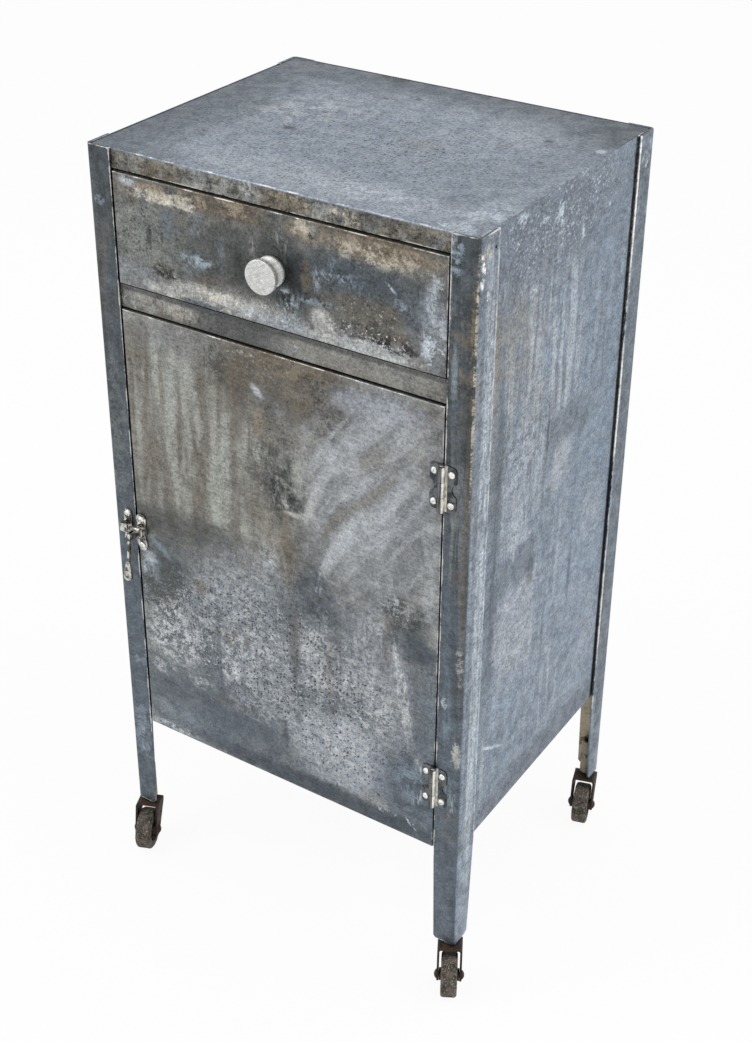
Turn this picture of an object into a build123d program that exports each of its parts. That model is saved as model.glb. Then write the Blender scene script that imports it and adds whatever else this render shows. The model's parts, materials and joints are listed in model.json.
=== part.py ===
"""Steel supply cabinet with one drawer, one hinged door and four swivel casters.

Millimetres. +Z is up, the front faces -Y, and the origin lies on the floor under the cabinet's middle.
"""
import os
from math import cos, radians, sin, sqrt

from build123d import *

# Overall size
WIDTH = 457.2
DEPTH = 362.0
HEIGHT = 914.4
CASTER_HEIGHT = 63.4
LEG_LENGTH = 131.4

# Angle posts that run on below the cabinet as legs
POST_THICK = 3.0
POST_FRONT = 30.4
POST_SIDE = 34.4
POST_BEND = 5.8
FOOT_FLANGE = 27.2
FOOT_TRIM = 3.0
SPARE_HOLE_R = 1.6
SPARE_HOLE_FROM_TOP = 15.7
SPARE_HOLE_FROM_FRONT = 27.0

# Sheet metal
SHEET = 1.2
SHEET_BEND = 2.4
EDGE_CLEAR = 0.4
TOP_RAIL = 23.4
DRAWER_HEIGHT = 122.1
MIDDLE_RAIL = 29.8
SIDE_ABOVE_DOOR_BOTTOM = 5.4
FRONT_GAP = 2.0
PAN_DEPTH = 15.0
PAN_EDGE = 1.6
MIDDLE_RAIL_DEPTH = 22.0
FLOOR_LIP = 14.0
FLOOR_BEHIND_DOOR = 2.0

# Drawer tray and its runners
TRAY_SIDE_ROOM = 4.0
TRAY_FOOT = 3.4
TRAY_HEIGHT = 96.0
TRAY_REAR_ROOM = 12.0
RUNNER_CLEAR = 0.3
RUNNER_GUIDE_CLEAR = 0.6
RUNNER_LEDGE = 12.0
RUNNER_STEP = 14.0
RUNNER_FLANGE = 16.0
RUNNER_BEHIND_FRONT = 2.0

# Shelf
SHELF_ABOVE_FLOOR = 262.0
SHELF_FROM_FRONT = 42.0
SHELF_LIP = 15.0
SHELF_CLEAR = 0.5
BRACKET_LEG = 16.0

# Drawer knob
KNOB_BASE_R = 16.0
KNOB_FACE_R = 18.0
KNOB_NECK_R = 12.0
KNOB_BASE_THICK = 3.6
KNOB_FACE_THICK = 4.6
KNOB_LENGTH = 21.0
KNOB_CROWN = 1.2
KNOB_BORE_DEPTH = 14.0
KNOB_BORE_ROOM = 1.0
KNOB_SCREW_R = 2.4
KNOB_SCREW_HEAD_R = 4.6
KNOB_SCREW_HEAD = 2.8
SCREW_CLEAR = 0.1

# Butterfly hinges
HINGE_LENGTH = 50.8
HINGE_INSET = 87.0
HINGE_LEAF = 15.0
HINGE_LEAF_THICK = 1.4
HINGE_BARREL_R = 3.8
HINGE_PIN_R = 1.9
HINGE_PIN_CLEAR = 0.05
HINGE_PIN_TIP_R = 2.7
HINGE_PIN_TIP = 2.0
HINGE_STAND_OFF = 0.5
HINGE_KNUCKLE_GAP = 0.3
HINGE_SCALLOP_R = 8.0
HINGE_SCALLOP_DEPTH = 5.0
HINGE_CORNER_R = 5.0
HINGE_SCREW_OFFSET = 9.6
HINGE_SCREW_SPREAD = 17.2

# Slotted round-head screws
SCREW_R = 1.6
SCREW_LENGTH = 7.0
SCREW_HEAD_R = 3.4
SCREW_HEAD = 2.3
SCREW_SLOT = 0.9
SCREW_SLOT_DEPTH = 1.1

# Door latch
LATCH_FROM_DOOR_EDGE = 6.9
LATCH_ABOVE_DOOR_BOTTOM = 272.0
LATCH_EAR_R = 6.6
LATCH_EAR_SPREAD = 16.9
LATCH_WAIST = 8.6
LATCH_PLATE = 2.0
LATCH_ARM_ABOVE = 3.6
LATCH_ARM_SHIFT = 2.2
LATCH_ARM_WIDE = 7.0
LATCH_ARM_TALL = 8.0
LATCH_PIVOT_OUT = 20.0
LATCH_FORK_DEPTH = 6.5
LATCH_PIN_R = 1.5
LATCH_PIN_CLEAR = 0.05
LATCH_PIN_HEAD_R = 2.4
LATCH_PIN_HEAD = 0.8
LATCH_SIDE_CLEAR = 0.25
LEVER_THICK = 3.0
LEVER_LENGTH = 55.0
LEVER_EYE_R = 3.6
LEVER_SHANK = 3.8
LEVER_SPOON_R = 5.6
LEVER_SPOON_LENGTH = 20.0
LEVER_SHOULDER_SHARE = 0.95
LEVER_DISH = 1.3
LEVER_DISH_R = 14.0
LEVER_LEAN = 8.0
BOLT_THICK = 4.0
BOLT_TALL = 6.0
BOLT_STAND_OFF = 4.0
BOLT_REACH = 13.5
BOLT_TAIL = 9.0
BOLT_CLEAR = 0.2
BOLT_HOUSING_WALL = 2.0
STRIKE_WIDE = 11.0
STRIKE_EAR_SPREAD = 15.0
STRIKE_EAR_R = 5.2
STRIKE_THICK = 1.5
STRIKE_HOOK_WALL = 2.0
STRIKE_HOOK_TALL = 10.0
STRIKE_TIP_CLEAR = 0.6

# Casters
WHEEL_R = 25.4
WHEEL_WIDE = 19.0
WHEEL_EDGE = 3.5
HUB_R = 15.5
HUB_RIM = 3.0
HUB_WEB = 7.0
HUB_BOSS_R = 7.0
HUB_SIDE_CLEAR = 0.4
FORK_THICK = 2.4
FORK_OUTSIDE = 28.8
FORK_LONG = 33.3
FORK_HEEL = 14.3
FORK_TIP_R = 7.5
FORK_CORNER_R = 4.0
FORK_HEEL_R = 6.0
FORK_BELOW_FOOT = 2.0
CASTER_TRAIL = 20.5
AXLE_R = 3.2
AXLE_CLEAR = 0.05
AXLE_HEAD_R = 5.6
AXLE_HEAD = 3.0
SOCKET_R = 8.0
SOCKET_LENGTH = 48.0
SOCKET_CLEAR = 0.1
STEM_R = 5.0
STEM_CLEAR = 0.05
STEM_COLLAR_R = 7.0
STEM_COLLAR = 1.6
STEM_TAIL_R = 4.0
STEM_RIVET_R = 6.0
STEM_RIVET = 1.2
STEM_TOP_ROOM = 4.0

# Spare length that a cut runs past the face it starts from
CUT_MARGIN = 1.0

# Where each caster points at rest: turn of its trail from straight ahead, towards the right
CASTER_TURN = {"front_left": 22.0, "front_right": 29.0, "rear_left": 25.0, "rear_right": 17.0}

# Places that follow from the sizes above
RIGHT = WIDTH / 2
FRONT = -DEPTH / 2
BACK = DEPTH / 2
PANEL_X = RIGHT - POST_THICK
INSIDE_X = PANEL_X - SHEET
PANEL_BACK = BACK - POST_THICK
INSIDE_BACK = PANEL_BACK - SHEET
PANEL_EDGE = POST_BEND + EDGE_CLEAR
OPENING_X = RIGHT - POST_FRONT
FRONT_X = OPENING_X - FRONT_GAP
DRAWER_TOP = HEIGHT - TOP_RAIL
DRAWER_BOTTOM = DRAWER_TOP - DRAWER_HEIGHT
DOOR_TOP = DRAWER_BOTTOM - MIDDLE_RAIL
DOOR_BOTTOM = CASTER_HEIGHT + LEG_LENGTH
SIDE_BOTTOM = DOOR_BOTTOM + SIDE_ABOVE_DOOR_BOTTOM
FLOOR_TOP = SIDE_BOTTOM + FLOOR_LIP
PAN_BACK = FRONT + PAN_DEPTH
TRAY_X = FRONT_X - TRAY_SIDE_ROOM
TRAY_BOTTOM = DRAWER_BOTTOM + TRAY_FOOT
TRAY_BACK = INSIDE_BACK - TRAY_REAR_ROOM
KNOB_Z = (DRAWER_TOP + DRAWER_BOTTOM) / 2
HINGE_X = OPENING_X - FRONT_GAP / 2
HINGE_Y = FRONT - HINGE_BARREL_R - HINGE_STAND_OFF
HINGE_Z = {"upper": DOOR_TOP - HINGE_INSET, "lower": DOOR_BOTTOM + HINGE_INSET}
LATCH_X = -FRONT_X + LATCH_FROM_DOOR_EDGE
LATCH_Z = DOOR_BOTTOM + LATCH_ABOVE_DOOR_BOTTOM
ARM_X = LATCH_X - LATCH_ARM_SHIFT
ARM_Z = LATCH_Z + LATCH_ARM_ABOVE
PIVOT_Y = FRONT - LATCH_PIVOT_OUT
BOLT_TIP_X = LATCH_X - BOLT_REACH
STRIKE_RIGHT = BOLT_TIP_X - STRIKE_TIP_CLEAR
STRIKE_X = STRIKE_RIGHT - STRIKE_WIDE / 2
STEM_INSET = POST_THICK + SOCKET_R + SOCKET_CLEAR
FORK_TOP = CASTER_HEIGHT - FORK_BELOW_FOOT

parts = {}


def block(x0, x1, y0, y1, z0, z1):
    """A box between two corners."""
    return Pos((x0 + x1) / 2, (y0 + y1) / 2, (z0 + z1) / 2) * Box(x1 - x0, y1 - y0, z1 - z0)


def rounded_block(x0, x1, y0, y1, z0, z1, corner):
    """A box with its four upright edges rounded."""
    return fillet(block(x0, x1, y0, y1, z0, z1).edges().filter_by(Axis.Z), corner)


def rod_x(x0, x1, y, z, radius):
    """A round bar along X."""
    return Pos((x0 + x1) / 2, y, z) * Rot(0, 90, 0) * Cylinder(radius, x1 - x0)


def rod_y(x, y0, y1, z, radius):
    """A round bar along Y."""
    return Pos(x, (y0 + y1) / 2, z) * Rot(90, 0, 0) * Cylinder(radius, y1 - y0)


def rod_z(x, y, z0, z1, radius):
    """A round bar along Z."""
    return Pos(x, y, (z0 + z1) / 2) * Cylinder(radius, z1 - z0)


def plate_on_front(sketch, x, z, y0, y1):
    """A flat outline drawn as seen from the front, given thickness from y0 to y1 and placed at x, z."""
    upright = Plane(origin=(x, y1, z), x_dir=(1, 0, 0), z_dir=(0, -1, 0))
    return extrude(upright * sketch, y1 - y0)


def dome_rise(radius, height, x):
    """How high a dome stands at x from its axis."""
    sphere_r = (radius**2 + height**2) / (2 * height)
    return sqrt(sphere_r**2 - x**2) - sphere_r + height


def dome(radius, height):
    """A domed head on the XZ plane that rises towards -Y."""
    with BuildSketch(Plane.XY) as half:
        with BuildLine():
            Polyline((0, -height), (0, 0), (radius, 0))
            ThreePointArc((radius, 0), (radius / 2, -dome_rise(radius, height, radius / 2)), (0, -height))
        make_face()
    return revolve(half.sketch, Axis.Y)


def mirrored(shape):
    """The left-hand twin of a right-hand piece."""
    return mirror(shape, about=Plane.YZ)


def folded_pan(x, z0, z1):
    """A front pan: a sheet with its four edges folded back."""
    solid = block(-x, x, FRONT, PAN_BACK, z0, z1)
    face = solid.faces().sort_by(Axis.Y)[0]
    solid = fillet(face.edges(), PAN_EDGE)
    return solid - block(SHEET - x, x - SHEET, FRONT + SHEET, PAN_BACK, z0 + SHEET, z1 - SHEET)


def slotted_screw(x, y, z):
    """A round-head screw driven along +Y, with its head seated at y."""
    head = Pos(x, y, z) * dome(SCREW_HEAD_R, SCREW_HEAD)
    slot = block(x - SCREW_HEAD_R, x + SCREW_HEAD_R, y - SCREW_HEAD, y - SCREW_HEAD + SCREW_SLOT_DEPTH,
                 z - SCREW_SLOT / 2, z + SCREW_SLOT / 2)
    return head - slot + rod_y(x, y, y + SCREW_LENGTH, z, SCREW_R)


def group(solids):
    """Several like pieces kept in one node."""
    return Compound([solid.solid() for solid in solids])


# Posts
def post():
    """The right rear post before its holes: an angle whose foot tapers on both flanges."""
    with BuildSketch() as angle:
        with BuildLine():
            Polyline((0, 0), (-POST_FRONT, 0), (-POST_FRONT, -POST_THICK), (-POST_THICK, -POST_THICK),
                     (-POST_THICK, -POST_SIDE), (0, -POST_SIDE), close=True)
        make_face()
        fillet(angle.vertices().sort_by_distance((0, 0))[0], POST_BEND)
        fillet(angle.vertices().sort_by_distance((-POST_THICK, -POST_THICK))[0], POST_BEND - POST_THICK)
    bar = extrude(Pos(RIGHT, BACK, CASTER_HEIGHT) * angle.sketch, HEIGHT - CASTER_HEIGHT)
    leg = SIDE_BOTTOM - CASTER_HEIGHT
    for flange, plane in (
        (POST_FRONT, Plane(origin=(RIGHT, BACK, CASTER_HEIGHT), x_dir=(-1, 0, 0), z_dir=(0, 1, 0))),
        (POST_SIDE, Plane(origin=(RIGHT, BACK, CASTER_HEIGHT), x_dir=(0, -1, 0), z_dir=(-1, 0, 0))),
    ):
        outline = make_face(Polyline(
            (flange + CUT_MARGIN, leg), (flange, leg), (FOOT_FLANGE, FOOT_TRIM), (FOOT_FLANGE - FOOT_TRIM, 0),
            (FOOT_FLANGE - FOOT_TRIM, -CUT_MARGIN), (flange + CUT_MARGIN, -CUT_MARGIN), close=True))
        bar -= extrude(plane * outline, POST_THICK + POST_BEND, both=True)
    return bar


rear_right = post()
front_right = mirror(rear_right, about=Plane.XZ)
front_left = mirrored(front_right)
parts["post_rear_right"] = rear_right
parts["post_rear_left"] = mirrored(rear_right)

hinge_screw_places = [
    (side * HINGE_SCREW_OFFSET, z + end * HINGE_SCREW_SPREAD)
    for z in HINGE_Z.values() for end in (1, -1) for side in (1, -1)
]
for offset_x, z in hinge_screw_places:
    if offset_x > 0:
        front_right -= rod_y(HINGE_X + offset_x, FRONT, FRONT + POST_THICK, z, SCREW_R + SCREW_CLEAR)
front_right -= rod_x(RIGHT - POST_THICK, RIGHT, FRONT + SPARE_HOLE_FROM_FRONT, HEIGHT - SPARE_HOLE_FROM_TOP,
                     SPARE_HOLE_R)
strike_screw_z = [LATCH_Z + LATCH_ARM_ABOVE + end * STRIKE_EAR_SPREAD for end in (1, -1)]
for z in strike_screw_z:
    front_left -= rod_y(STRIKE_X, FRONT, FRONT + POST_THICK, z, SCREW_R + SCREW_CLEAR)
parts["post_front_right"] = front_right
parts["post_front_left"] = front_left


# Cabinet panels
def folded_tray(x, y0, y1, z0, z1, corner):
    """A sheet with its four edges folded down, open below."""
    solid = rounded_block(-x, x, y0, y1, z0, z1, corner)
    solid = fillet(solid.faces().sort_by(Axis.Z)[-1].edges(), SHEET_BEND)
    return solid - rounded_block(SHEET - x, x - SHEET, y0 + SHEET, y1 - SHEET, z0, z1 - SHEET, corner - SHEET)


right_panel = block(INSIDE_X, PANEL_X, FRONT + PANEL_EDGE, BACK - PANEL_EDGE, SIDE_BOTTOM, HEIGHT)
parts["side_panel_right"] = right_panel
parts["side_panel_left"] = mirrored(right_panel)
parts["back_panel"] = block(-RIGHT + PANEL_EDGE, RIGHT - PANEL_EDGE, INSIDE_BACK, PANEL_BACK, SIDE_BOTTOM, HEIGHT)
parts["top_panel"] = folded_tray(INSIDE_X, FRONT + POST_THICK, INSIDE_BACK, DRAWER_TOP + FRONT_GAP, HEIGHT,
                                 POST_BEND - SHEET_BEND)
parts["cabinet_floor"] = folded_tray(INSIDE_X, PAN_BACK + FLOOR_BEHIND_DOOR, INSIDE_BACK, SIDE_BOTTOM, FLOOR_TOP,
                                     POST_BEND - SHEET_BEND)

rail_y = FRONT + POST_THICK
rail_x = RIGHT - PANEL_EDGE
rail_low = DOOR_TOP + FRONT_GAP
rail_high = DRAWER_BOTTOM - FRONT_GAP
rail = block(-rail_x, rail_x, rail_y, rail_y + MIDDLE_RAIL_DEPTH, rail_low, rail_high)
rail_hollow = block(-rail_x, rail_x, rail_y + SHEET, rail_y + MIDDLE_RAIL_DEPTH, rail_low + SHEET, rail_high - SHEET)
parts["middle_rail"] = rail - rail_hollow


# Drawer runners: a stepped sheet on each side panel, with a guide wall and a ledge
ledge_top = TRAY_BOTTOM - RUNNER_CLEAR
step_top = ledge_top + RUNNER_STEP
guide_x = TRAY_X + RUNNER_GUIDE_CLEAR
with BuildSketch(Plane.XZ) as runner_section:
    with BuildLine():
        Polyline(
            (INSIDE_X, step_top + RUNNER_FLANGE), (INSIDE_X, step_top - SHEET), (guide_x + SHEET, step_top - SHEET),
            (guide_x + SHEET, ledge_top - SHEET), (guide_x - RUNNER_LEDGE, ledge_top - SHEET),
            (guide_x - RUNNER_LEDGE, ledge_top), (guide_x, ledge_top), (guide_x, step_top),
            (INSIDE_X - SHEET, step_top), (INSIDE_X - SHEET, step_top + RUNNER_FLANGE), close=True)
    make_face()
runner_front = PAN_BACK + RUNNER_BEHIND_FRONT
runner = extrude(Pos(0, INSIDE_BACK, 0) * runner_section.sketch, INSIDE_BACK - runner_front)
parts["drawer_runner_right"] = runner
parts["drawer_runner_left"] = mirrored(runner)


# Shelf on two bracket angles
shelf_top = FLOOR_TOP + SHELF_ABOVE_FLOOR
shelf_x = INSIDE_X - SHELF_CLEAR
shelf_front = FRONT + SHELF_FROM_FRONT
shelf_back = INSIDE_BACK - SHELF_CLEAR
shelf = block(-shelf_x, shelf_x, shelf_front, shelf_back, shelf_top - SHEET, shelf_top)
for y0 in (shelf_front, shelf_back - SHEET):
    shelf += block(-shelf_x, shelf_x, y0, y0 + SHEET, shelf_top - SHELF_LIP, shelf_top)
parts["shelf"] = shelf

bracket_y0 = shelf_front + SHEET + SHELF_CLEAR
bracket_y1 = shelf_back - SHEET - SHELF_CLEAR
bracket_top = shelf_top - SHEET
bracket = block(INSIDE_X - BRACKET_LEG, INSIDE_X, bracket_y0, bracket_y1, bracket_top - SHEET, bracket_top)
bracket += block(INSIDE_X - SHEET, INSIDE_X, bracket_y0, bracket_y1, bracket_top - BRACKET_LEG, bracket_top)
parts["shelf_bracket_right"] = bracket
parts["shelf_bracket_left"] = mirrored(bracket)


# Drawer: a channel folded up on both sides, closed by two end plates, behind a front pan
tray_low = TRAY_BOTTOM + SHEET
tray_top = TRAY_BOTTOM + TRAY_HEIGHT
tray_front = FRONT + SHEET
tray_inside_x = TRAY_X - SHEET
tray = block(-TRAY_X, TRAY_X, tray_front, TRAY_BACK, TRAY_BOTTOM, tray_top)
tray -= block(-tray_inside_x, tray_inside_x, tray_front, TRAY_BACK, tray_low, tray_top)
front_end = block(-tray_inside_x, tray_inside_x, tray_front, tray_front + SHEET, tray_low, tray_top)
rear_end = block(-tray_inside_x, tray_inside_x, TRAY_BACK - SHEET, TRAY_BACK, tray_low, tray_top)
knob_hole = rod_y(0, FRONT, FRONT + 2 * SHEET, KNOB_Z, KNOB_SCREW_R + SCREW_CLEAR)
parts["drawer_front"] = folded_pan(FRONT_X, DRAWER_BOTTOM, DRAWER_TOP) - knob_hole
parts["drawer_tray"] = tray
parts["drawer_ends"] = group([front_end - knob_hole, rear_end])

neck_from = KNOB_BASE_THICK
neck_to = KNOB_LENGTH - KNOB_CROWN - KNOB_FACE_THICK
neck_middle = (neck_from + neck_to) / 2
crown_from = KNOB_CROWN - KNOB_LENGTH
crown_rise = dome_rise(KNOB_FACE_R, KNOB_CROWN, KNOB_FACE_R / 2)
with BuildSketch(Plane.XY) as knob_half:
    with BuildLine():
        Polyline((0, 0), (KNOB_BASE_R, 0), (KNOB_BASE_R, -neck_from))
        ThreePointArc((KNOB_BASE_R, -neck_from), (KNOB_NECK_R, -neck_middle), (KNOB_FACE_R, -neck_to))
        Line((KNOB_FACE_R, -neck_to), (KNOB_FACE_R, crown_from))
        ThreePointArc((KNOB_FACE_R, crown_from), (KNOB_FACE_R / 2, crown_from - crown_rise), (0, -KNOB_LENGTH))
        Line((0, -KNOB_LENGTH), (0, 0))
    make_face()
knob = Pos(0, FRONT, KNOB_Z) * revolve(knob_half.sketch, Axis.Y)
knob -= rod_y(0, FRONT - KNOB_BORE_DEPTH, FRONT, KNOB_Z, KNOB_SCREW_R + SCREW_CLEAR)
parts["drawer_knob"] = knob

screw_seat = FRONT + 2 * SHEET
knob_screw = rod_y(0, FRONT - KNOB_BORE_DEPTH + KNOB_BORE_ROOM, screw_seat, KNOB_Z, KNOB_SCREW_R)
knob_screw += rod_y(0, screw_seat, screw_seat + KNOB_SCREW_HEAD, KNOB_Z, KNOB_SCREW_HEAD_R)
knob_screw -= block(-KNOB_SCREW_HEAD_R, KNOB_SCREW_HEAD_R, screw_seat + KNOB_SCREW_HEAD - SCREW_SLOT_DEPTH,
                    screw_seat + KNOB_SCREW_HEAD, KNOB_Z - SCREW_SLOT / 2, KNOB_Z + SCREW_SLOT / 2)
parts["knob_screw"] = knob_screw


# Door
door = folded_pan(FRONT_X, DOOR_BOTTOM, DOOR_TOP)
latch_screw_z = [LATCH_Z + end * LATCH_EAR_SPREAD for end in (1, -1)]
for offset_x, z in hinge_screw_places:
    if offset_x < 0:
        door -= rod_y(HINGE_X + offset_x, FRONT, FRONT + SHEET, z, SCREW_R + SCREW_CLEAR)
for z in latch_screw_z:
    door -= rod_y(LATCH_X, FRONT, FRONT + SHEET, z, SCREW_R + SCREW_CLEAR)
parts["door_skin"] = door
parts["door_liner"] = block(-FRONT_X + SHEET, FRONT_X - SHEET, PAN_BACK - 2 * SHEET, PAN_BACK - SHEET,
                            DOOR_BOTTOM + SHEET, DOOR_TOP - SHEET)


# Hinges: the post leaf has the two end knuckles, the door leaf the middle one
def hinge_leaf(side, z_middle):
    """One leaf: side is 1 on the post and -1 on the door."""
    half = HINGE_LENGTH / 2
    third = HINGE_LENGTH / 6
    leaf_y = FRONT - HINGE_LEAF_THICK
    wing = Pos(HINGE_LEAF / 2, 0) * Rectangle(HINGE_LEAF, HINGE_LENGTH)
    wing = fillet(wing.vertices().group_by(Axis.X)[-1], HINGE_CORNER_R)
    wing -= Pos(HINGE_LEAF + HINGE_SCALLOP_R - HINGE_SCALLOP_DEPTH, 0) * Circle(HINGE_SCALLOP_R)
    for end in (1, -1):
        wing -= Pos(HINGE_SCREW_OFFSET, end * HINGE_SCREW_SPREAD) * Circle(SCREW_R + SCREW_CLEAR)
    leaf = plate_on_front(wing, 0, 0, leaf_y, FRONT)
    leaf -= block(0, HINGE_BARREL_R, leaf_y, FRONT, -half, half)
    spans = [(third, half), (-half, -third)] if side > 0 else [(-third, third)]
    for low, high in spans:
        low += HINGE_KNUCKLE_GAP / 2
        high -= HINGE_KNUCKLE_GAP / 2
        leaf += rod_z(0, HINGE_Y, low, high, HINGE_BARREL_R)
        leaf += block(0, HINGE_BARREL_R, HINGE_Y + HINGE_BARREL_R - HINGE_LEAF_THICK, leaf_y + HINGE_LEAF_THICK, low,
                      high)
    leaf -= rod_z(0, HINGE_Y, -half, half, HINGE_PIN_R + HINGE_PIN_CLEAR)
    if side < 0:
        leaf = mirrored(leaf)
    return Pos(HINGE_X, 0, z_middle) * leaf


hinge_pins = []
for name, z_middle in HINGE_Z.items():
    parts[f"hinge_leaf_post_{name}"] = hinge_leaf(1, z_middle)
    parts[f"hinge_leaf_door_{name}"] = hinge_leaf(-1, z_middle)
    pin_low = z_middle - HINGE_LENGTH / 2
    pin_high = z_middle + HINGE_LENGTH / 2
    pin = rod_z(HINGE_X, HINGE_Y, pin_low, pin_high, HINGE_PIN_R)
    pin += rod_z(HINGE_X, HINGE_Y, pin_high, pin_high + HINGE_PIN_TIP, HINGE_PIN_TIP_R)
    pin += rod_z(HINGE_X, HINGE_Y, pin_low - HINGE_PIN_TIP, pin_low, HINGE_PIN_TIP_R)
    hinge_pins.append(pin)
parts["hinge_pins"] = group(hinge_pins)
for node, sign in (("hinge_post_screws", 1), ("hinge_door_screws", -1)):
    parts[node] = group([
        slotted_screw(HINGE_X + offset_x, FRONT - HINGE_LEAF_THICK, z)
        for offset_x, z in hinge_screw_places if offset_x * sign > 0
    ])


# Latch base: an hourglass plate with a bolt housing and a forked arm
ear_plate = Rectangle(2 * LATCH_EAR_R, 2 * LATCH_EAR_SPREAD)
waist_cut = LATCH_EAR_R - LATCH_WAIST / 2
waist_half = LATCH_EAR_SPREAD - LATCH_EAR_R / 2
waist_r = (waist_half**2 + waist_cut**2) / (2 * waist_cut)
for side in (1, -1):
    ear_plate += Pos(0, side * LATCH_EAR_SPREAD) * Circle(LATCH_EAR_R)
    ear_plate -= Pos(side * (LATCH_WAIST / 2 + waist_r), 0) * Circle(waist_r)
plate_y = FRONT - LATCH_PLATE
base = plate_on_front(ear_plate, LATCH_X, LATCH_Z, plate_y, FRONT)
for z in latch_screw_z:
    base -= rod_y(LATCH_X, plate_y, FRONT, z, SCREW_R + SCREW_CLEAR)
bolt_y1 = FRONT - BOLT_STAND_OFF
bolt_y0 = bolt_y1 - BOLT_THICK
bolt_z0 = ARM_Z - BOLT_TALL / 2
bolt_z1 = ARM_Z + BOLT_TALL / 2
housing_y = bolt_y0 - BOLT_CLEAR - BOLT_HOUSING_WALL
housing_left = -FRONT_X + EDGE_CLEAR
housing_right = LATCH_X + LATCH_EAR_R
housing = block(housing_left, housing_right, housing_y, FRONT, bolt_z0 - BOLT_CLEAR - BOLT_HOUSING_WALL,
                bolt_z1 + BOLT_CLEAR + BOLT_HOUSING_WALL)
housing = fillet(housing.faces().sort_by(Axis.Y)[0].edges(), BOLT_HOUSING_WALL / 2)
arm_low = ARM_Z - LATCH_ARM_TALL / 2
arm_high = ARM_Z + LATCH_ARM_TALL / 2
arm = block(ARM_X - LATCH_ARM_WIDE / 2, ARM_X + LATCH_ARM_WIDE / 2, PIVOT_Y, housing_y + BOLT_HOUSING_WALL / 2,
            arm_low, arm_high)
arm += rod_x(ARM_X - LATCH_ARM_WIDE / 2, ARM_X + LATCH_ARM_WIDE / 2, PIVOT_Y, ARM_Z, LATCH_ARM_TALL / 2)
fork_half = LEVER_THICK / 2 + LATCH_SIDE_CLEAR
arm -= block(ARM_X - fork_half, ARM_X + fork_half, PIVOT_Y - LATCH_ARM_TALL, PIVOT_Y + LATCH_FORK_DEPTH,
             arm_low, arm_high)
arm -= rod_x(ARM_X - LATCH_ARM_WIDE / 2, ARM_X + LATCH_ARM_WIDE / 2, PIVOT_Y, ARM_Z, LATCH_PIN_R + LATCH_PIN_CLEAR)
base += housing
base -= block(housing_left, housing_right, bolt_y0 - BOLT_CLEAR, bolt_y1 + BOLT_CLEAR, bolt_z0 - BOLT_CLEAR,
              bolt_z1 + BOLT_CLEAR)
parts["latch_base"] = base + arm
parts["latch_screws"] = group([slotted_screw(LATCH_X, plate_y, z) for z in latch_screw_z])

pin_half = LATCH_ARM_WIDE / 2
latch_pin = rod_x(ARM_X - pin_half, ARM_X + pin_half, PIVOT_Y, ARM_Z, LATCH_PIN_R)
for side in (1, -1):
    ends = sorted((ARM_X + side * pin_half, ARM_X + side * (pin_half + LATCH_PIN_HEAD)))
    latch_pin += rod_x(ends[0], ends[1], PIVOT_Y, ARM_Z, LATCH_PIN_HEAD_R)
parts["latch_pivot_pin"] = latch_pin


# Latch lever: an eye on the cross pin, a shank and a dished spoon, leaning outwards
spoon_centre = LEVER_SPOON_R - LEVER_LENGTH
spoon_top = spoon_centre + LEVER_SPOON_LENGTH
shoulder = LEVER_SPOON_R * LEVER_SHOULDER_SHARE
outline = make_face(Polyline(
    (-LEVER_THICK / 2, 0), (LEVER_THICK / 2, 0), (LEVER_THICK / 2, spoon_top), (shoulder, spoon_centre),
    (-shoulder, spoon_centre), (-LEVER_THICK / 2, spoon_top), close=True))
outline += Pos(0, spoon_centre) * Circle(LEVER_SPOON_R)
lever = plate_on_front(outline, 0, 0, -LEVER_SHANK / 2, LEVER_SHANK / 2)
lever -= Pos(0, -LEVER_SHANK / 2 + LEVER_DISH - LEVER_DISH_R, spoon_centre) * Sphere(LEVER_DISH_R)
lever += rod_x(-LEVER_THICK / 2, LEVER_THICK / 2, 0, 0, LEVER_EYE_R)
lever -= rod_x(-LEVER_THICK, LEVER_THICK, 0, 0, LATCH_PIN_R + LATCH_PIN_CLEAR)
parts["latch_lever"] = Pos(ARM_X, PIVOT_Y, ARM_Z) * Rot(-LEVER_LEAN, 0, 0) * lever

bolt_right = LATCH_X + BOLT_TAIL
bolt = block(BOLT_TIP_X, bolt_right, bolt_y0, bolt_y1, bolt_z0, bolt_z1)
nose = bolt.faces().sort_by(Axis.X)[0].edges().sort_by(Axis.Y)[-1]
parts["latch_bolt"] = chamfer(nose, BOLT_THICK / 2)


# Strike on the left post: an eared plate with a hook that the bolt slides behind
strike_face = FRONT - STRIKE_THICK
eared = Rectangle(STRIKE_WIDE, 2 * STRIKE_EAR_SPREAD)
for end in (1, -1):
    eared += Pos(0, end * STRIKE_EAR_SPREAD) * Circle(STRIKE_EAR_R)
strike = plate_on_front(eared, STRIKE_X, ARM_Z, strike_face, FRONT)
hook_left = STRIKE_X - STRIKE_WIDE / 2
hook_top = bolt_y0 - BOLT_CLEAR
hook_low = ARM_Z - STRIKE_HOOK_TALL / 2
hook_high = ARM_Z + STRIKE_HOOK_TALL / 2
strike += block(hook_left, hook_left + STRIKE_HOOK_WALL, hook_top, strike_face, hook_low, hook_high)
strike += block(hook_left, STRIKE_RIGHT, hook_top - STRIKE_HOOK_WALL, hook_top, hook_low, hook_high)
for z in strike_screw_z:
    strike -= rod_y(STRIKE_X, strike_face, FRONT, z, SCREW_R + SCREW_CLEAR)
parts["latch_strike"] = strike
parts["strike_screws"] = group([slotted_screw(STRIKE_X, strike_face, z) for z in strike_screw_z])


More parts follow.
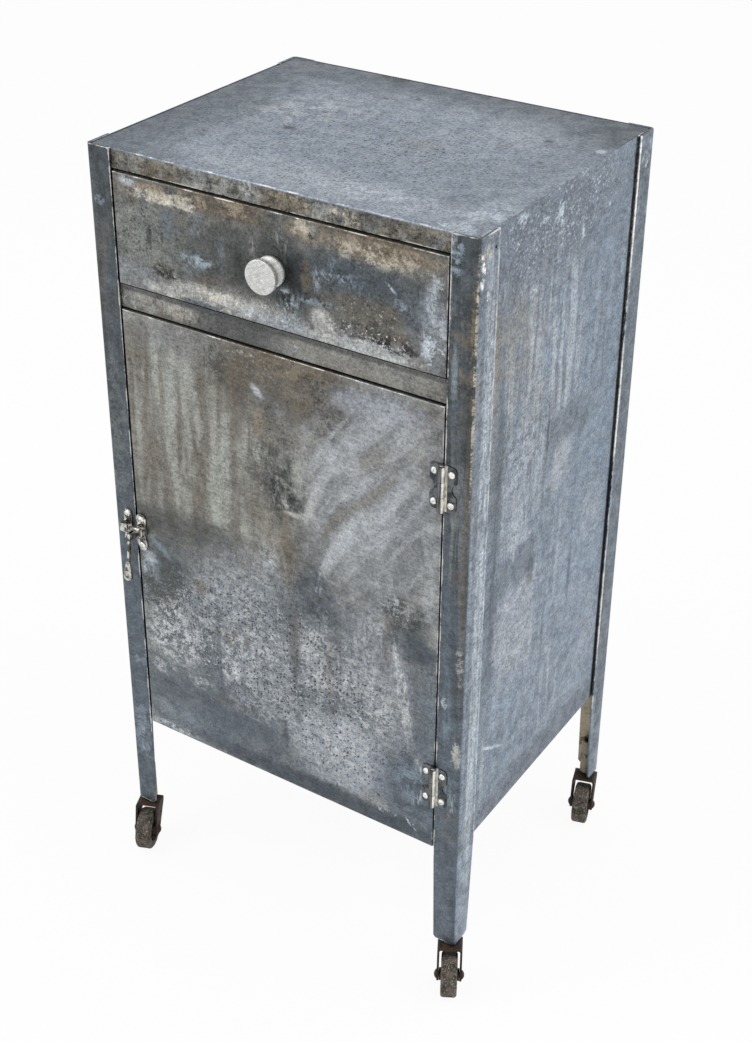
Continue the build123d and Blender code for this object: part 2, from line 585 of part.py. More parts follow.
# Casters, drawn with the stem on the Z axis and the trail towards -Y, then turned and placed
def caster_pieces():
    """The moving pieces of one caster."""
    cheek_x = FORK_OUTSIDE / 2
    inside_x = cheek_x - FORK_THICK
    axle_y = -CASTER_TRAIL
    toe = FORK_HEEL - FORK_LONG
    side = make_face(Polyline(
        (FORK_HEEL, FORK_TOP), (toe, FORK_TOP), (axle_y - FORK_TIP_R, WHEEL_R), (axle_y + FORK_TIP_R, WHEEL_R),
        close=True))
    side = fillet(side.vertices().sort_by_distance((FORK_HEEL, FORK_TOP))[0], FORK_HEEL_R)
    side += Pos(axle_y, WHEEL_R) * Circle(FORK_TIP_R)
    fork = extrude(Plane.YZ * side, cheek_x, both=True)
    fork = fillet(fork.edges().filter_by(Axis.Y).group_by(Axis.Z)[-1], FORK_CORNER_R)
    fork -= block(-inside_x, inside_x, axle_y - 2 * WHEEL_R, FORK_HEEL + CUT_MARGIN, 0,
                  FORK_TOP - FORK_THICK)
    fork -= rod_z(0, 0, 0, FORK_TOP, STEM_TAIL_R + STEM_CLEAR)
    fork -= rod_x(-cheek_x, cheek_x, axle_y, WHEEL_R, AXLE_R + AXLE_CLEAR)

    crown_low = FORK_TOP - FORK_THICK
    stem = rod_z(0, 0, crown_low - STEM_RIVET, crown_low, STEM_RIVET_R)
    stem += rod_z(0, 0, crown_low, FORK_TOP, STEM_TAIL_R)
    stem += rod_z(0, 0, FORK_TOP, FORK_TOP + STEM_COLLAR, STEM_COLLAR_R)
    stem += rod_z(0, 0, FORK_TOP + STEM_COLLAR, CASTER_HEIGHT + SOCKET_LENGTH - STEM_TOP_ROOM, STEM_R)

    axle = rod_x(-cheek_x, cheek_x, axle_y, WHEEL_R, AXLE_R)
    for end in (1, -1):
        axle += Pos(end * cheek_x, axle_y, WHEEL_R) * Rot(0, 0, 90 * end) * dome(AXLE_HEAD_R, AXLE_HEAD)

    half = WHEEL_WIDE / 2
    tread = rod_x(-half, half, axle_y, WHEEL_R, WHEEL_R)
    tread = fillet(tread.edges().filter_by(GeomType.CIRCLE), WHEEL_EDGE)
    tread -= rod_x(-half, half, axle_y, WHEEL_R, HUB_R)

    boss_half = inside_x - HUB_SIDE_CLEAR
    hub = rod_x(-half + WHEEL_EDGE, half - WHEEL_EDGE, axle_y, WHEEL_R, HUB_R)
    for end in (1, -1):
        ends = sorted((end * HUB_WEB / 2, end * half))
        hub -= rod_x(ends[0], ends[1], axle_y, WHEEL_R, HUB_R - HUB_RIM)
    hub += rod_x(-boss_half, boss_half, axle_y, WHEEL_R, HUB_BOSS_R)
    hub -= rod_x(-boss_half, boss_half, axle_y, WHEEL_R, AXLE_R + AXLE_CLEAR)
    return {"caster_fork": fork, "caster_stem": stem, "caster_axle": axle, "wheel_tread": tread, "wheel_hub": hub}


def stem_place(corner):
    """Where a caster's stem stands, as x and y."""
    x = (RIGHT - STEM_INSET) * (1 if "right" in corner else -1)
    y = (BACK - STEM_INSET) * (1 if "rear" in corner else -1)
    return x, y


socket = rod_z(0, 0, CASTER_HEIGHT, CASTER_HEIGHT + SOCKET_LENGTH, SOCKET_R)
socket -= rod_z(0, 0, CASTER_HEIGHT, CASTER_HEIGHT + SOCKET_LENGTH, STEM_R + STEM_CLEAR)
pieces = caster_pieces()
for corner, turn in CASTER_TURN.items():
    x, y = stem_place(corner)
    parts[f"caster_socket_{corner}"] = Pos(x, y, 0) * socket
    for name, piece in pieces.items():
        parts[f"{name}_{corner}"] = Pos(x, y, 0) * Rot(0, 0, turn) * piece

os.makedirs("parts", exist_ok=True)
for node, shape in parts.items():
    export_step(shape, f"parts/{node}.step")

for corner, turn in CASTER_TURN.items():
    x, y = stem_place(corner)
    wheel_x = x + CASTER_TRAIL * sin(radians(turn))
    wheel_y = y - CASTER_TRAIL * cos(radians(turn))
    print(f"{corner}: stem {x:.2f} {y:.2f}, wheel {wheel_x:.2f} {wheel_y:.2f}")
print(f"hinge {HINGE_X:.2f} {HINGE_Y:.2f}, lever {ARM_X:.2f} {PIVOT_Y:.2f} {ARM_Z:.2f}, nodes {len(parts)}")
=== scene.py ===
"""Looks of the worn steel supply cabinet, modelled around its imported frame.

Places are in metres, and hardware is drawn in millimetres. +Z is up, the front faces -Y, and +X is the
right-hand side seen from the front.
"""
import json
import math
from collections import namedtuple

import bmesh
import bpy
from mathutils import Matrix, Vector

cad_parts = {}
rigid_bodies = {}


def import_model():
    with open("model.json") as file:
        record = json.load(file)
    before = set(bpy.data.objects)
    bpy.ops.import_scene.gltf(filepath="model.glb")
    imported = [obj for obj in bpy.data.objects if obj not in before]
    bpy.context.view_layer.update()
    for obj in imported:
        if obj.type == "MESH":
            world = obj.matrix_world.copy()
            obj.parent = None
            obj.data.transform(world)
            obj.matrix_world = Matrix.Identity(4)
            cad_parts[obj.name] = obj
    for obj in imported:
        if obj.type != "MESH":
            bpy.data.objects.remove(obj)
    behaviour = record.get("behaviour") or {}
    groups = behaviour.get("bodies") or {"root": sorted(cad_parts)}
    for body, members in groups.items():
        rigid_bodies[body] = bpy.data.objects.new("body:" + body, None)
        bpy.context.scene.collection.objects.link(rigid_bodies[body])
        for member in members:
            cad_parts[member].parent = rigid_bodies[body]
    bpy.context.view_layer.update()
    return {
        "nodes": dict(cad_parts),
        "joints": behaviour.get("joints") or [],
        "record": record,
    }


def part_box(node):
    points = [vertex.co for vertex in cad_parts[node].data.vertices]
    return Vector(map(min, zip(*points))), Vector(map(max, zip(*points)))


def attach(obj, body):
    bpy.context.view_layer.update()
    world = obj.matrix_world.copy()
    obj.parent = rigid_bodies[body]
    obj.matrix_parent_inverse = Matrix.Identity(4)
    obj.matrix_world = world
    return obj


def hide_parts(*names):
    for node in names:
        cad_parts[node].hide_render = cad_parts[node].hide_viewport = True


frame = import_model()
nodes = frame["nodes"]
joints = {joint["name"]: joint for joint in frame["joints"]}
body_of = {node: body for body, members in frame["record"]["behaviour"]["bodies"].items() for node in members}
corners = ("front_left", "front_right", "rear_left", "rear_right")
MM = 0.001

# Finishes found on the cabinet, as linear colours; some also serve for painted shade, highlights and
# reflections
# Black of soot specks and pits, also used for painted shadows
SOOT_AND_SHADE_BLACK = (0.020, 0.021, 0.023)
GREEN_BLACK = (0.050, 0.056, 0.056)
GUNMETAL = (0.082, 0.087, 0.087)
DARK_SLATE = (0.066, 0.082, 0.099)
SLATE = (0.118, 0.143, 0.172)
OLIVE_GREY = (0.207, 0.219, 0.206)
WARM_GREY = (0.225, 0.222, 0.208)
BROWN_GREY = (0.195, 0.182, 0.158)
SAGE = (0.390, 0.405, 0.375)
COOL_GREY = (0.245, 0.258, 0.275)
BLUE_GREY = (0.240, 0.284, 0.340)
SIDE_BLUE = (0.220, 0.283, 0.362)
HAZE_BLUE = (0.322, 0.376, 0.448)
PALE_HAZE = (0.430, 0.470, 0.520)
DEEP_BLUE = (0.160, 0.188, 0.228)
LILAC_GREY = (0.352, 0.382, 0.428)
PALE_LILAC = (0.440, 0.465, 0.490)
SCUFF_BLUE = (0.235, 0.295, 0.345)
PALE_BLUE = (0.520, 0.580, 0.640)
CHALK = (0.680, 0.695, 0.705)
PALE_GREY = (0.430, 0.435, 0.415)
CREAM = (0.540, 0.510, 0.440)
TAN = (0.270, 0.228, 0.170)
BROWN = (0.138, 0.117, 0.090)
RUST = (0.105, 0.050, 0.025)
BRIGHT_EDGE = (0.860, 0.855, 0.830)
# White of rubbed nickel, also used for painted highlights and reflections
RUBBED_AND_HIGHLIGHT_WHITE = (0.930, 0.910, 0.840)
OLD_PAINT = (0.400, 0.345, 0.255)
PAINT_SHADE = (0.200, 0.170, 0.120)
PAINT_STAIN = (0.045, 0.035, 0.026)
LEAF_DARK = (0.045, 0.050, 0.056)
LEAF_PALE = (0.150, 0.160, 0.170)
BARREL_DARK = (0.040, 0.041, 0.042)
BARREL_PALE = (0.215, 0.217, 0.213)
SCRATCH_GREY = (0.420, 0.420, 0.410)
SANDED_WHITE = (0.820, 0.820, 0.810)
IRON_BLACK = (0.011, 0.010, 0.009)
IRON_BROWN = (0.050, 0.028, 0.018)
RUST_CRUMB = (0.190, 0.125, 0.080)
TREAD_DARK = (0.030, 0.025, 0.021)
TREAD_GREY = (0.135, 0.112, 0.090)
TREAD_STAIN = (0.100, 0.062, 0.040)
TREAD_CHIP = (0.390, 0.360, 0.310)


# Node helpers
def fill(tree, node, inputs):
    """Links sockets, and sets plain values, on a node's inputs."""
    for key, value in inputs.items():
        if isinstance(value, bpy.types.NodeSocket):
            tree.links.new(value, node.inputs[key])
        else:
            node.inputs[key].default_value = value


def add(tree, kind, inputs=None, **settings):
    """Adds a shader node with its settings and inputs."""
    node = tree.nodes.new("ShaderNode" + kind)
    for name, value in settings.items():
        setattr(node, name, value)
    fill(tree, node, inputs or {})
    return node


def maths(tree, operation, first, second=0.0):
    """One sum on numbers."""
    return add(tree, "Math", {0: first, 1: second}, operation=operation).outputs[0]


def vector_maths(tree, operation, first, second):
    """One sum on vectors."""
    return add(tree, "VectorMath", {0: first, 1: second}, operation=operation).outputs[0]


def soft_step(tree, value, low, high, start=0.0, end=1.0):
    """Maps low..high to start..end with soft ends."""
    inputs = {"Value": value, "From Min": low, "From Max": high, "To Min": start, "To Max": end}
    return add(tree, "MapRange", inputs, interpolation_type="SMOOTHSTEP").outputs["Result"]


def tint(tree, share, under, over):
    """Lays one colour over another."""
    colours = {0: share}
    for key, colour in ((6, under), (7, over)):
        colours[key] = colour if isinstance(colour, bpy.types.NodeSocket) else (*colour, 1.0)
    return add(tree, "Mix", colours, data_type="RGBA").outputs[2]


def scaled(tree, colour, level):
    """A colour made lighter or darker."""
    return add(tree, "VectorMath", {0: colour, "Scale": level}, operation="SCALE").outputs[0]


def noise(tree, place, waves, detail=4.0, roughness=0.55, distortion=0.0):
    """Cloudy noise, with its number of waves to the metre: one for all ways, or one for each."""
    if isinstance(waves, tuple):
        place = vector_maths(tree, "MULTIPLY", place, waves)
        waves = 1.0
    inputs = {"Vector": place, "Scale": waves, "Detail": detail, "Roughness": roughness,
              "Distortion": distortion}
    return add(tree, "TexNoise", inputs).outputs["Fac"]


def bumpy_normal(tree, height, strength, depth):
    """The surface's normal, roughened by a height."""
    return add(tree, "Bump", {"Height": height, "Strength": strength, "Distance": depth}).outputs[0]


def turned_about(tree, place, angle, axis):
    """A place turned about one of the frame's axes."""
    return add(tree, "VectorRotate", {"Vector": place, "Angle": angle}, rotation_type=axis).outputs[0]


def mirrored_place(tree, place):
    """A place with its signs dropped, which is the same in all four corners."""
    return add(tree, "VectorMath", {0: place}, operation="ABSOLUTE").outputs[0]


def object_place(tree):
    """The surface's place in the cabinet's frame."""
    return add(tree, "TexCoord").outputs["Object"]


def split(tree, vector):
    """A vector's three numbers."""
    return add(tree, "SeparateXYZ", {0: vector}).outputs


def new_group(name, inputs, outputs):
    """Starts a node group and returns its tree, its inputs and its outputs."""
    tree = bpy.data.node_groups.new(name, "ShaderNodeTree")
    for label, kind, value in inputs:
        socket = tree.interface.new_socket(label, in_out="INPUT", socket_type="NodeSocket" + kind)
        if value is not None:
            socket.default_value = value
    for label in outputs:
        tree.interface.new_socket(label, in_out="OUTPUT", socket_type="NodeSocketFloat")
    return tree, tree.nodes.new("NodeGroupInput").outputs, tree.nodes.new("NodeGroupOutput").inputs


def use(tree, group, inputs):
    """Places a node group and returns its outputs."""
    node = tree.nodes.new("ShaderNodeGroup")
    node.node_tree = group
    fill(tree, node, inputs)
    return node.outputs


def new_material(name):
    """An empty material: the material, its tree and its Principled shader."""
    material = bpy.data.materials.new(name)
    material.use_nodes = True
    tree = material.node_tree
    return material, tree, tree.nodes["Principled BSDF"]


# Shared effects
ANY_DEPTH = 10.0
RAGGED = 0.8


def make_worn_patch():
    """A ragged patch, oval or square, in a panel's own flat place."""
    tree, given, result = new_group(
        "worn_patch",
        (("Place", "Vector", None), ("Centre", "Vector", None), ("Half Size", "Vector", None),
         ("Lean", "Float", 0.0), ("Edge Noise", "Float", 0.5), ("Ragged", "Float", RAGGED),
         ("Soft", "Float", 0.3), ("Square", "Float", 0.0)),
        ("Mask",))
    turned = add(tree, "VectorRotate",
                 {"Vector": given["Place"], "Center": given["Centre"], "Angle": given["Lean"]},
                 rotation_type="Z_AXIS").outputs[0]
    offset = vector_maths(tree, "SUBTRACT", turned, given["Centre"])
    shares = vector_maths(tree, "DIVIDE", offset, given["Half Size"])
    oval = add(tree, "VectorMath", {0: shares}, operation="LENGTH").outputs["Value"]
    across, up, _ = split(tree, mirrored_place(tree, shares))
    square = maths(tree, "MAXIMUM", across, up)
    reach = add(tree, "Mix", {0: given["Square"], 2: oval, 3: square}).outputs[0]
    wobble = maths(tree, "MULTIPLY", maths(tree, "SUBTRACT", given["Edge Noise"], 0.5), given["Ragged"])
    reach = maths(tree, "ADD", reach, maths(tree, "MULTIPLY", wobble, 2.0))
    inner = maths(tree, "SUBTRACT", 1.0, given["Soft"])
    outer = maths(tree, "ADD", 1.0, given["Soft"])
    tree.links.new(soft_step(tree, reach, inner, outer, 1.0, 0.0), result["Mask"])
    return tree


# Grains of noise in worn steel: waves to the metre, detail, roughness and distortion of the noise, and the
# levels that it rises between, where it isn't used as it is
Grain = namedtuple("Grain", "waves detail roughness distortion low high", defaults=(0.0, None, None))
GRAINS = {
    "Cloud": Grain(10.0, 6.0, 0.62, 0.5, 0.34, 0.66),
    "Mottle": Grain(48.0, 8.0, 0.72, 0.2, 0.43, 0.57),
    "Scab": Grain(62.0, 10.0, 0.80, 0.2, 0.485, 0.530),
    "Crumb": Grain(115.0, 9.0, 0.84, 0.3, 0.488, 0.526),
    "Speck": Grain(300.0, 4.0, 0.65, 0.2, 0.57, 0.63),
    "Grit": Grain(85.0, 10.0, 0.80, 0.1, 0.36, 0.64),
    "Streak": Grain((90.0, 7.0, 90.0), 6.0, 0.62, 0.5, 0.42, 0.60),
    "Stroke": Grain((40.0, 5.0, 40.0), 3.0, 0.55, 0.9, 0.40, 0.64),
    "Sweep": Grain((34.0, 7.0, 34.0), 3.0, 0.55, 1.4, 0.40, 0.64),
    "Wisp": Grain((230.0, 60.0, 230.0), 7.0, 0.72, 0.8, 0.44, 0.66),
    "Brush": Grain((30.0, 620.0, 30.0), 3.0, 0.5, 0.4, 0.34, 0.68),
    "Fine": Grain(400.0, 5.0, 0.75),
    "Edge Noise": Grain(34.0, 9.0, 0.72, 0.2),
    "Fine Edge": Grain(150.0, 6.0, 0.70, 0.3),
}
SWEEP_LEAN = math.radians(38.0)
PITS_TO_METRE = 215.0
PIT_SIZE = 0.31
PITTED_SHARE = 0.9
PIT_BEND = 0.006


def make_pits(tree, place):
    """Round pits of many sizes, a little out of round."""
    bent = maths(tree, "MULTIPLY", noise(tree, place, 420.0, 3.0), PIT_BEND)
    spread = vector_maths(tree, "ADD", place, bent)
    cells = add(tree, "TexVoronoi", {"Vector": spread, "Scale": PITS_TO_METRE},
                voronoi_dimensions="2D").outputs
    chance = add(tree, "SeparateColor", {0: cells["Color"]}).outputs[0]
    size = soft_step(tree, chance, 0.0, PITTED_SHARE, PIT_SIZE, 0.0)
    return soft_step(tree, maths(tree, "SUBTRACT", cells["Distance"], size), -0.09, 0.02, 1.0, 0.0)


def make_steel_grain():
    """What wear leaves in bare steel: all the grains of noise, and pits."""
    tree, given, result = new_group("steel_grain", (("Place", "Vector", None),), (*GRAINS, "Pit"))
    place = given["Place"]
    leaning = turned_about(tree, place, SWEEP_LEAN, "Z_AXIS")
    for label, grain in GRAINS.items():
        level = noise(tree, leaning if label == "Sweep" else place, *grain[:4])
        if grain.high:
            level = soft_step(tree, level, grain.low, grain.high)
        tree.links.new(level, result[label])
    tree.links.new(make_pits(tree, place), result["Pit"])
    return tree


def make_worn_and_highlit_edge():
    """Bright metal along the edges of a boxy piece, broken up by noise: worn bare edges, partly a painted
    highlight.
    """
    tree, given, result = new_group(
        "worn_and_highlit_edge",
        (("Place", "Vector", None), ("Low", "Vector", None), ("High", "Vector", None),
         ("Width", "Float", 2.0 * MM), ("Edge Noise", "Float", 0.5)),
        ("Mask",))
    above = split(tree, vector_maths(tree, "SUBTRACT", given["Place"], given["Low"]))
    below = split(tree, vector_maths(tree, "SUBTRACT", given["High"], given["Place"]))
    x, y, z = (maths(tree, "MINIMUM", above[axis], below[axis]) for axis in range(3))
    second = maths(tree, "MINIMUM", maths(tree, "MAXIMUM", x, y), z)
    second = maths(tree, "MAXIMUM", maths(tree, "MINIMUM", x, y), second)
    uneven = soft_step(tree, given["Edge Noise"], 0.42, 0.62, 0.0, 1.8)
    reach = maths(tree, "MULTIPLY", given["Width"], uneven)
    tree.links.new(soft_step(tree, second, 0.0, reach, 1.0, 0.0), result["Mask"])
    return tree


worn_patch = make_worn_patch()
steel_grain = make_steel_grain()
worn_and_highlit_edge = make_worn_and_highlit_edge()

# Panels that the finishes are laid out on: two axes of the frame, and the panel's lowest and highest corner
Panel = namedtuple("Panel", "across up low high")
FRONT_AXES = (0, 2)
SIDE_AXES = (1, 2)
TOP_AXES = (0, 1)

# A mark of wear or of painted shade: its finish, its place and half size as shares of the panel, its strength
# and grain, how far it leans to the right in degrees, how soft its rim is, and whether it is square
Mark = namedtuple("Mark", "finish across up half_across half_up strength grain lean soft square",
                  defaults=(0.8, None, 0.0, 0.3, 0.0))
SMALL_MARK = 0.012

# How strongly grains show all over a coat: upright streaks, brush marks, grit, scabs and the finest grain
Wear = namedtuple("Wear", "streaky brushed gritty scabby grainy")


def panel_of(axes, *names):
    """The panel that some nodes cover, seen along the axis that isn't named."""
    boxes = [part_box(name) for name in names]
    low = [min(box[0][axis] for box in boxes) for axis in axes]
    high = [max(box[1][axis] for box in boxes) for axis in axes]
    return Panel(*axes, low, high)


def panel_place(tree, panel):
    """The surface's place as (across, up, depth) of a panel."""
    parts = split(tree, object_place(tree))
    depth = 3 - panel.across - panel.up
    return add(tree, "CombineXYZ", {0: parts[panel.across], 1: parts[panel.up], 2: parts[depth]}).outputs[0]


def lay_marks(tree, place, panel, colour, marks, grains):
    """Lays marks of wear, and of painted shade, over a colour."""
    width = panel.high[0] - panel.low[0]
    height = panel.high[1] - panel.low[1]
    for mark in marks:
        centre = (panel.low[0] + mark.across * width, panel.low[1] + mark.up * height, 0.0)
        half = (mark.half_across * width, mark.half_up * height, ANY_DEPTH)
        ragged = grains["Fine Edge" if min(half) < SMALL_MARK else "Edge Noise"]
        patch = use(tree, worn_patch, {
            "Place": place, "Centre": centre, "Half Size": half, "Lean": math.radians(mark.lean),
            "Edge Noise": ragged, "Soft": mark.soft, "Square": mark.square})
        share = maths(tree, "MULTIPLY", patch["Mask"], mark.strength)
        if mark.grain:
            share = maths(tree, "MULTIPLY", share, grains[mark.grain])
        colour = tint(tree, share, colour, mark.finish)
    return colour


CLOUD_SHARE = 0.55
RELIEF = {"Scab": 0.2, "Brush": 0.08, "Grit": 0.3, "Pit": -0.5}
FINE_RELIEF = 0.6


def steel_coat(tree, panel, tones, marks, wear):
    """Bare worn steel on a flat panel: its colour, roughness, height and grains.

    Two tones and their mottles lie under the marks, and brush marks, scabs and grit go over all.
    """
    place = panel_place(tree, panel)
    grains = use(tree, steel_grain, {"Place": place})
    level = maths(tree, "MULTIPLY", grains["Cloud"], CLOUD_SHARE)
    for grain, share in (("Mottle", 1.0 - CLOUD_SHARE - wear.streaky), ("Streak", wear.streaky)):
        level = maths(tree, "ADD", level, maths(tree, "MULTIPLY", grains[grain], share))
    colour = tint(tree, level, *tones)
    colour = lay_marks(tree, place, panel, colour, marks, grains)
    shade = 1.0
    for grain, strength in (("Brush", wear.brushed), ("Scab", wear.scabby), ("Grit", wear.gritty),
                            ("Fine", wear.grainy)):
        swing = maths(tree, "MULTIPLY", maths(tree, "SUBTRACT", grains[grain], 0.5), strength)
        shade = maths(tree, "ADD", swing, shade)
    colour = scaled(tree, colour, shade)
    height = maths(tree, "MULTIPLY", grains["Fine"], FINE_RELIEF)
    for grain, strength in RELIEF.items():
        height = maths(tree, "ADD", height, maths(tree, "MULTIPLY", grains[grain], strength))
    roughness = soft_step(tree, grains["Mottle"], 0.0, 1.0, 0.54, 0.38)
    return {"colour": colour, "roughness": roughness, "height": height, "grains": grains}


# Painted shade in gaps and corners: how far it looks and how dark it goes
CREVICE_SHADE_REACH = 9.0 * MM
CREVICE_SHADE_LEVEL = 0.20
EDGE_SHARE = 0.80
STEEL_METALLIC = 0.75


def crevice_shade(tree, colour, reach=CREVICE_SHADE_REACH):
    """Darkens a colour with painted shade in the gaps and corners that ambient occlusion finds."""
    opened = add(tree, "AmbientOcclusion", {"Distance": reach}, samples=4).outputs["AO"]
    return scaled(tree, colour, soft_step(tree, opened, 0.15, 0.80, CREVICE_SHADE_LEVEL, 1.0))


def steel(name, coat_of, edge_box=None, edge_width=0.9 * MM, mirrored=False):
    """A steel material from a coat, with painted shade in its gaps and bright edges along a box, worn and
    partly painted highlight.
    """
    material, tree, shader = new_material(name)
    coat = coat_of(tree)
    colour = crevice_shade(tree, coat["colour"])
    # Bright edges: worn bare steel, and partly a painted highlight
    if edge_box:
        place = object_place(tree)
        if mirrored:
            place = mirrored_place(tree, place)
        edge = use(tree, worn_and_highlit_edge, {
            "Place": place, "Low": edge_box[0], "High": edge_box[1], "Width": edge_width,
            "Edge Noise": coat["grains"]["Edge Noise"]})["Mask"]
        colour = tint(tree, maths(tree, "MULTIPLY", edge, EDGE_SHARE), colour, BRIGHT_EDGE)
    fill(tree, shader, {
        "Base Color": colour, "Roughness": coat["roughness"], "Metallic": STEEL_METALLIC,
        "Normal": bumpy_normal(tree, coat["height"], 0.4, 0.4 * MM)})
    return material


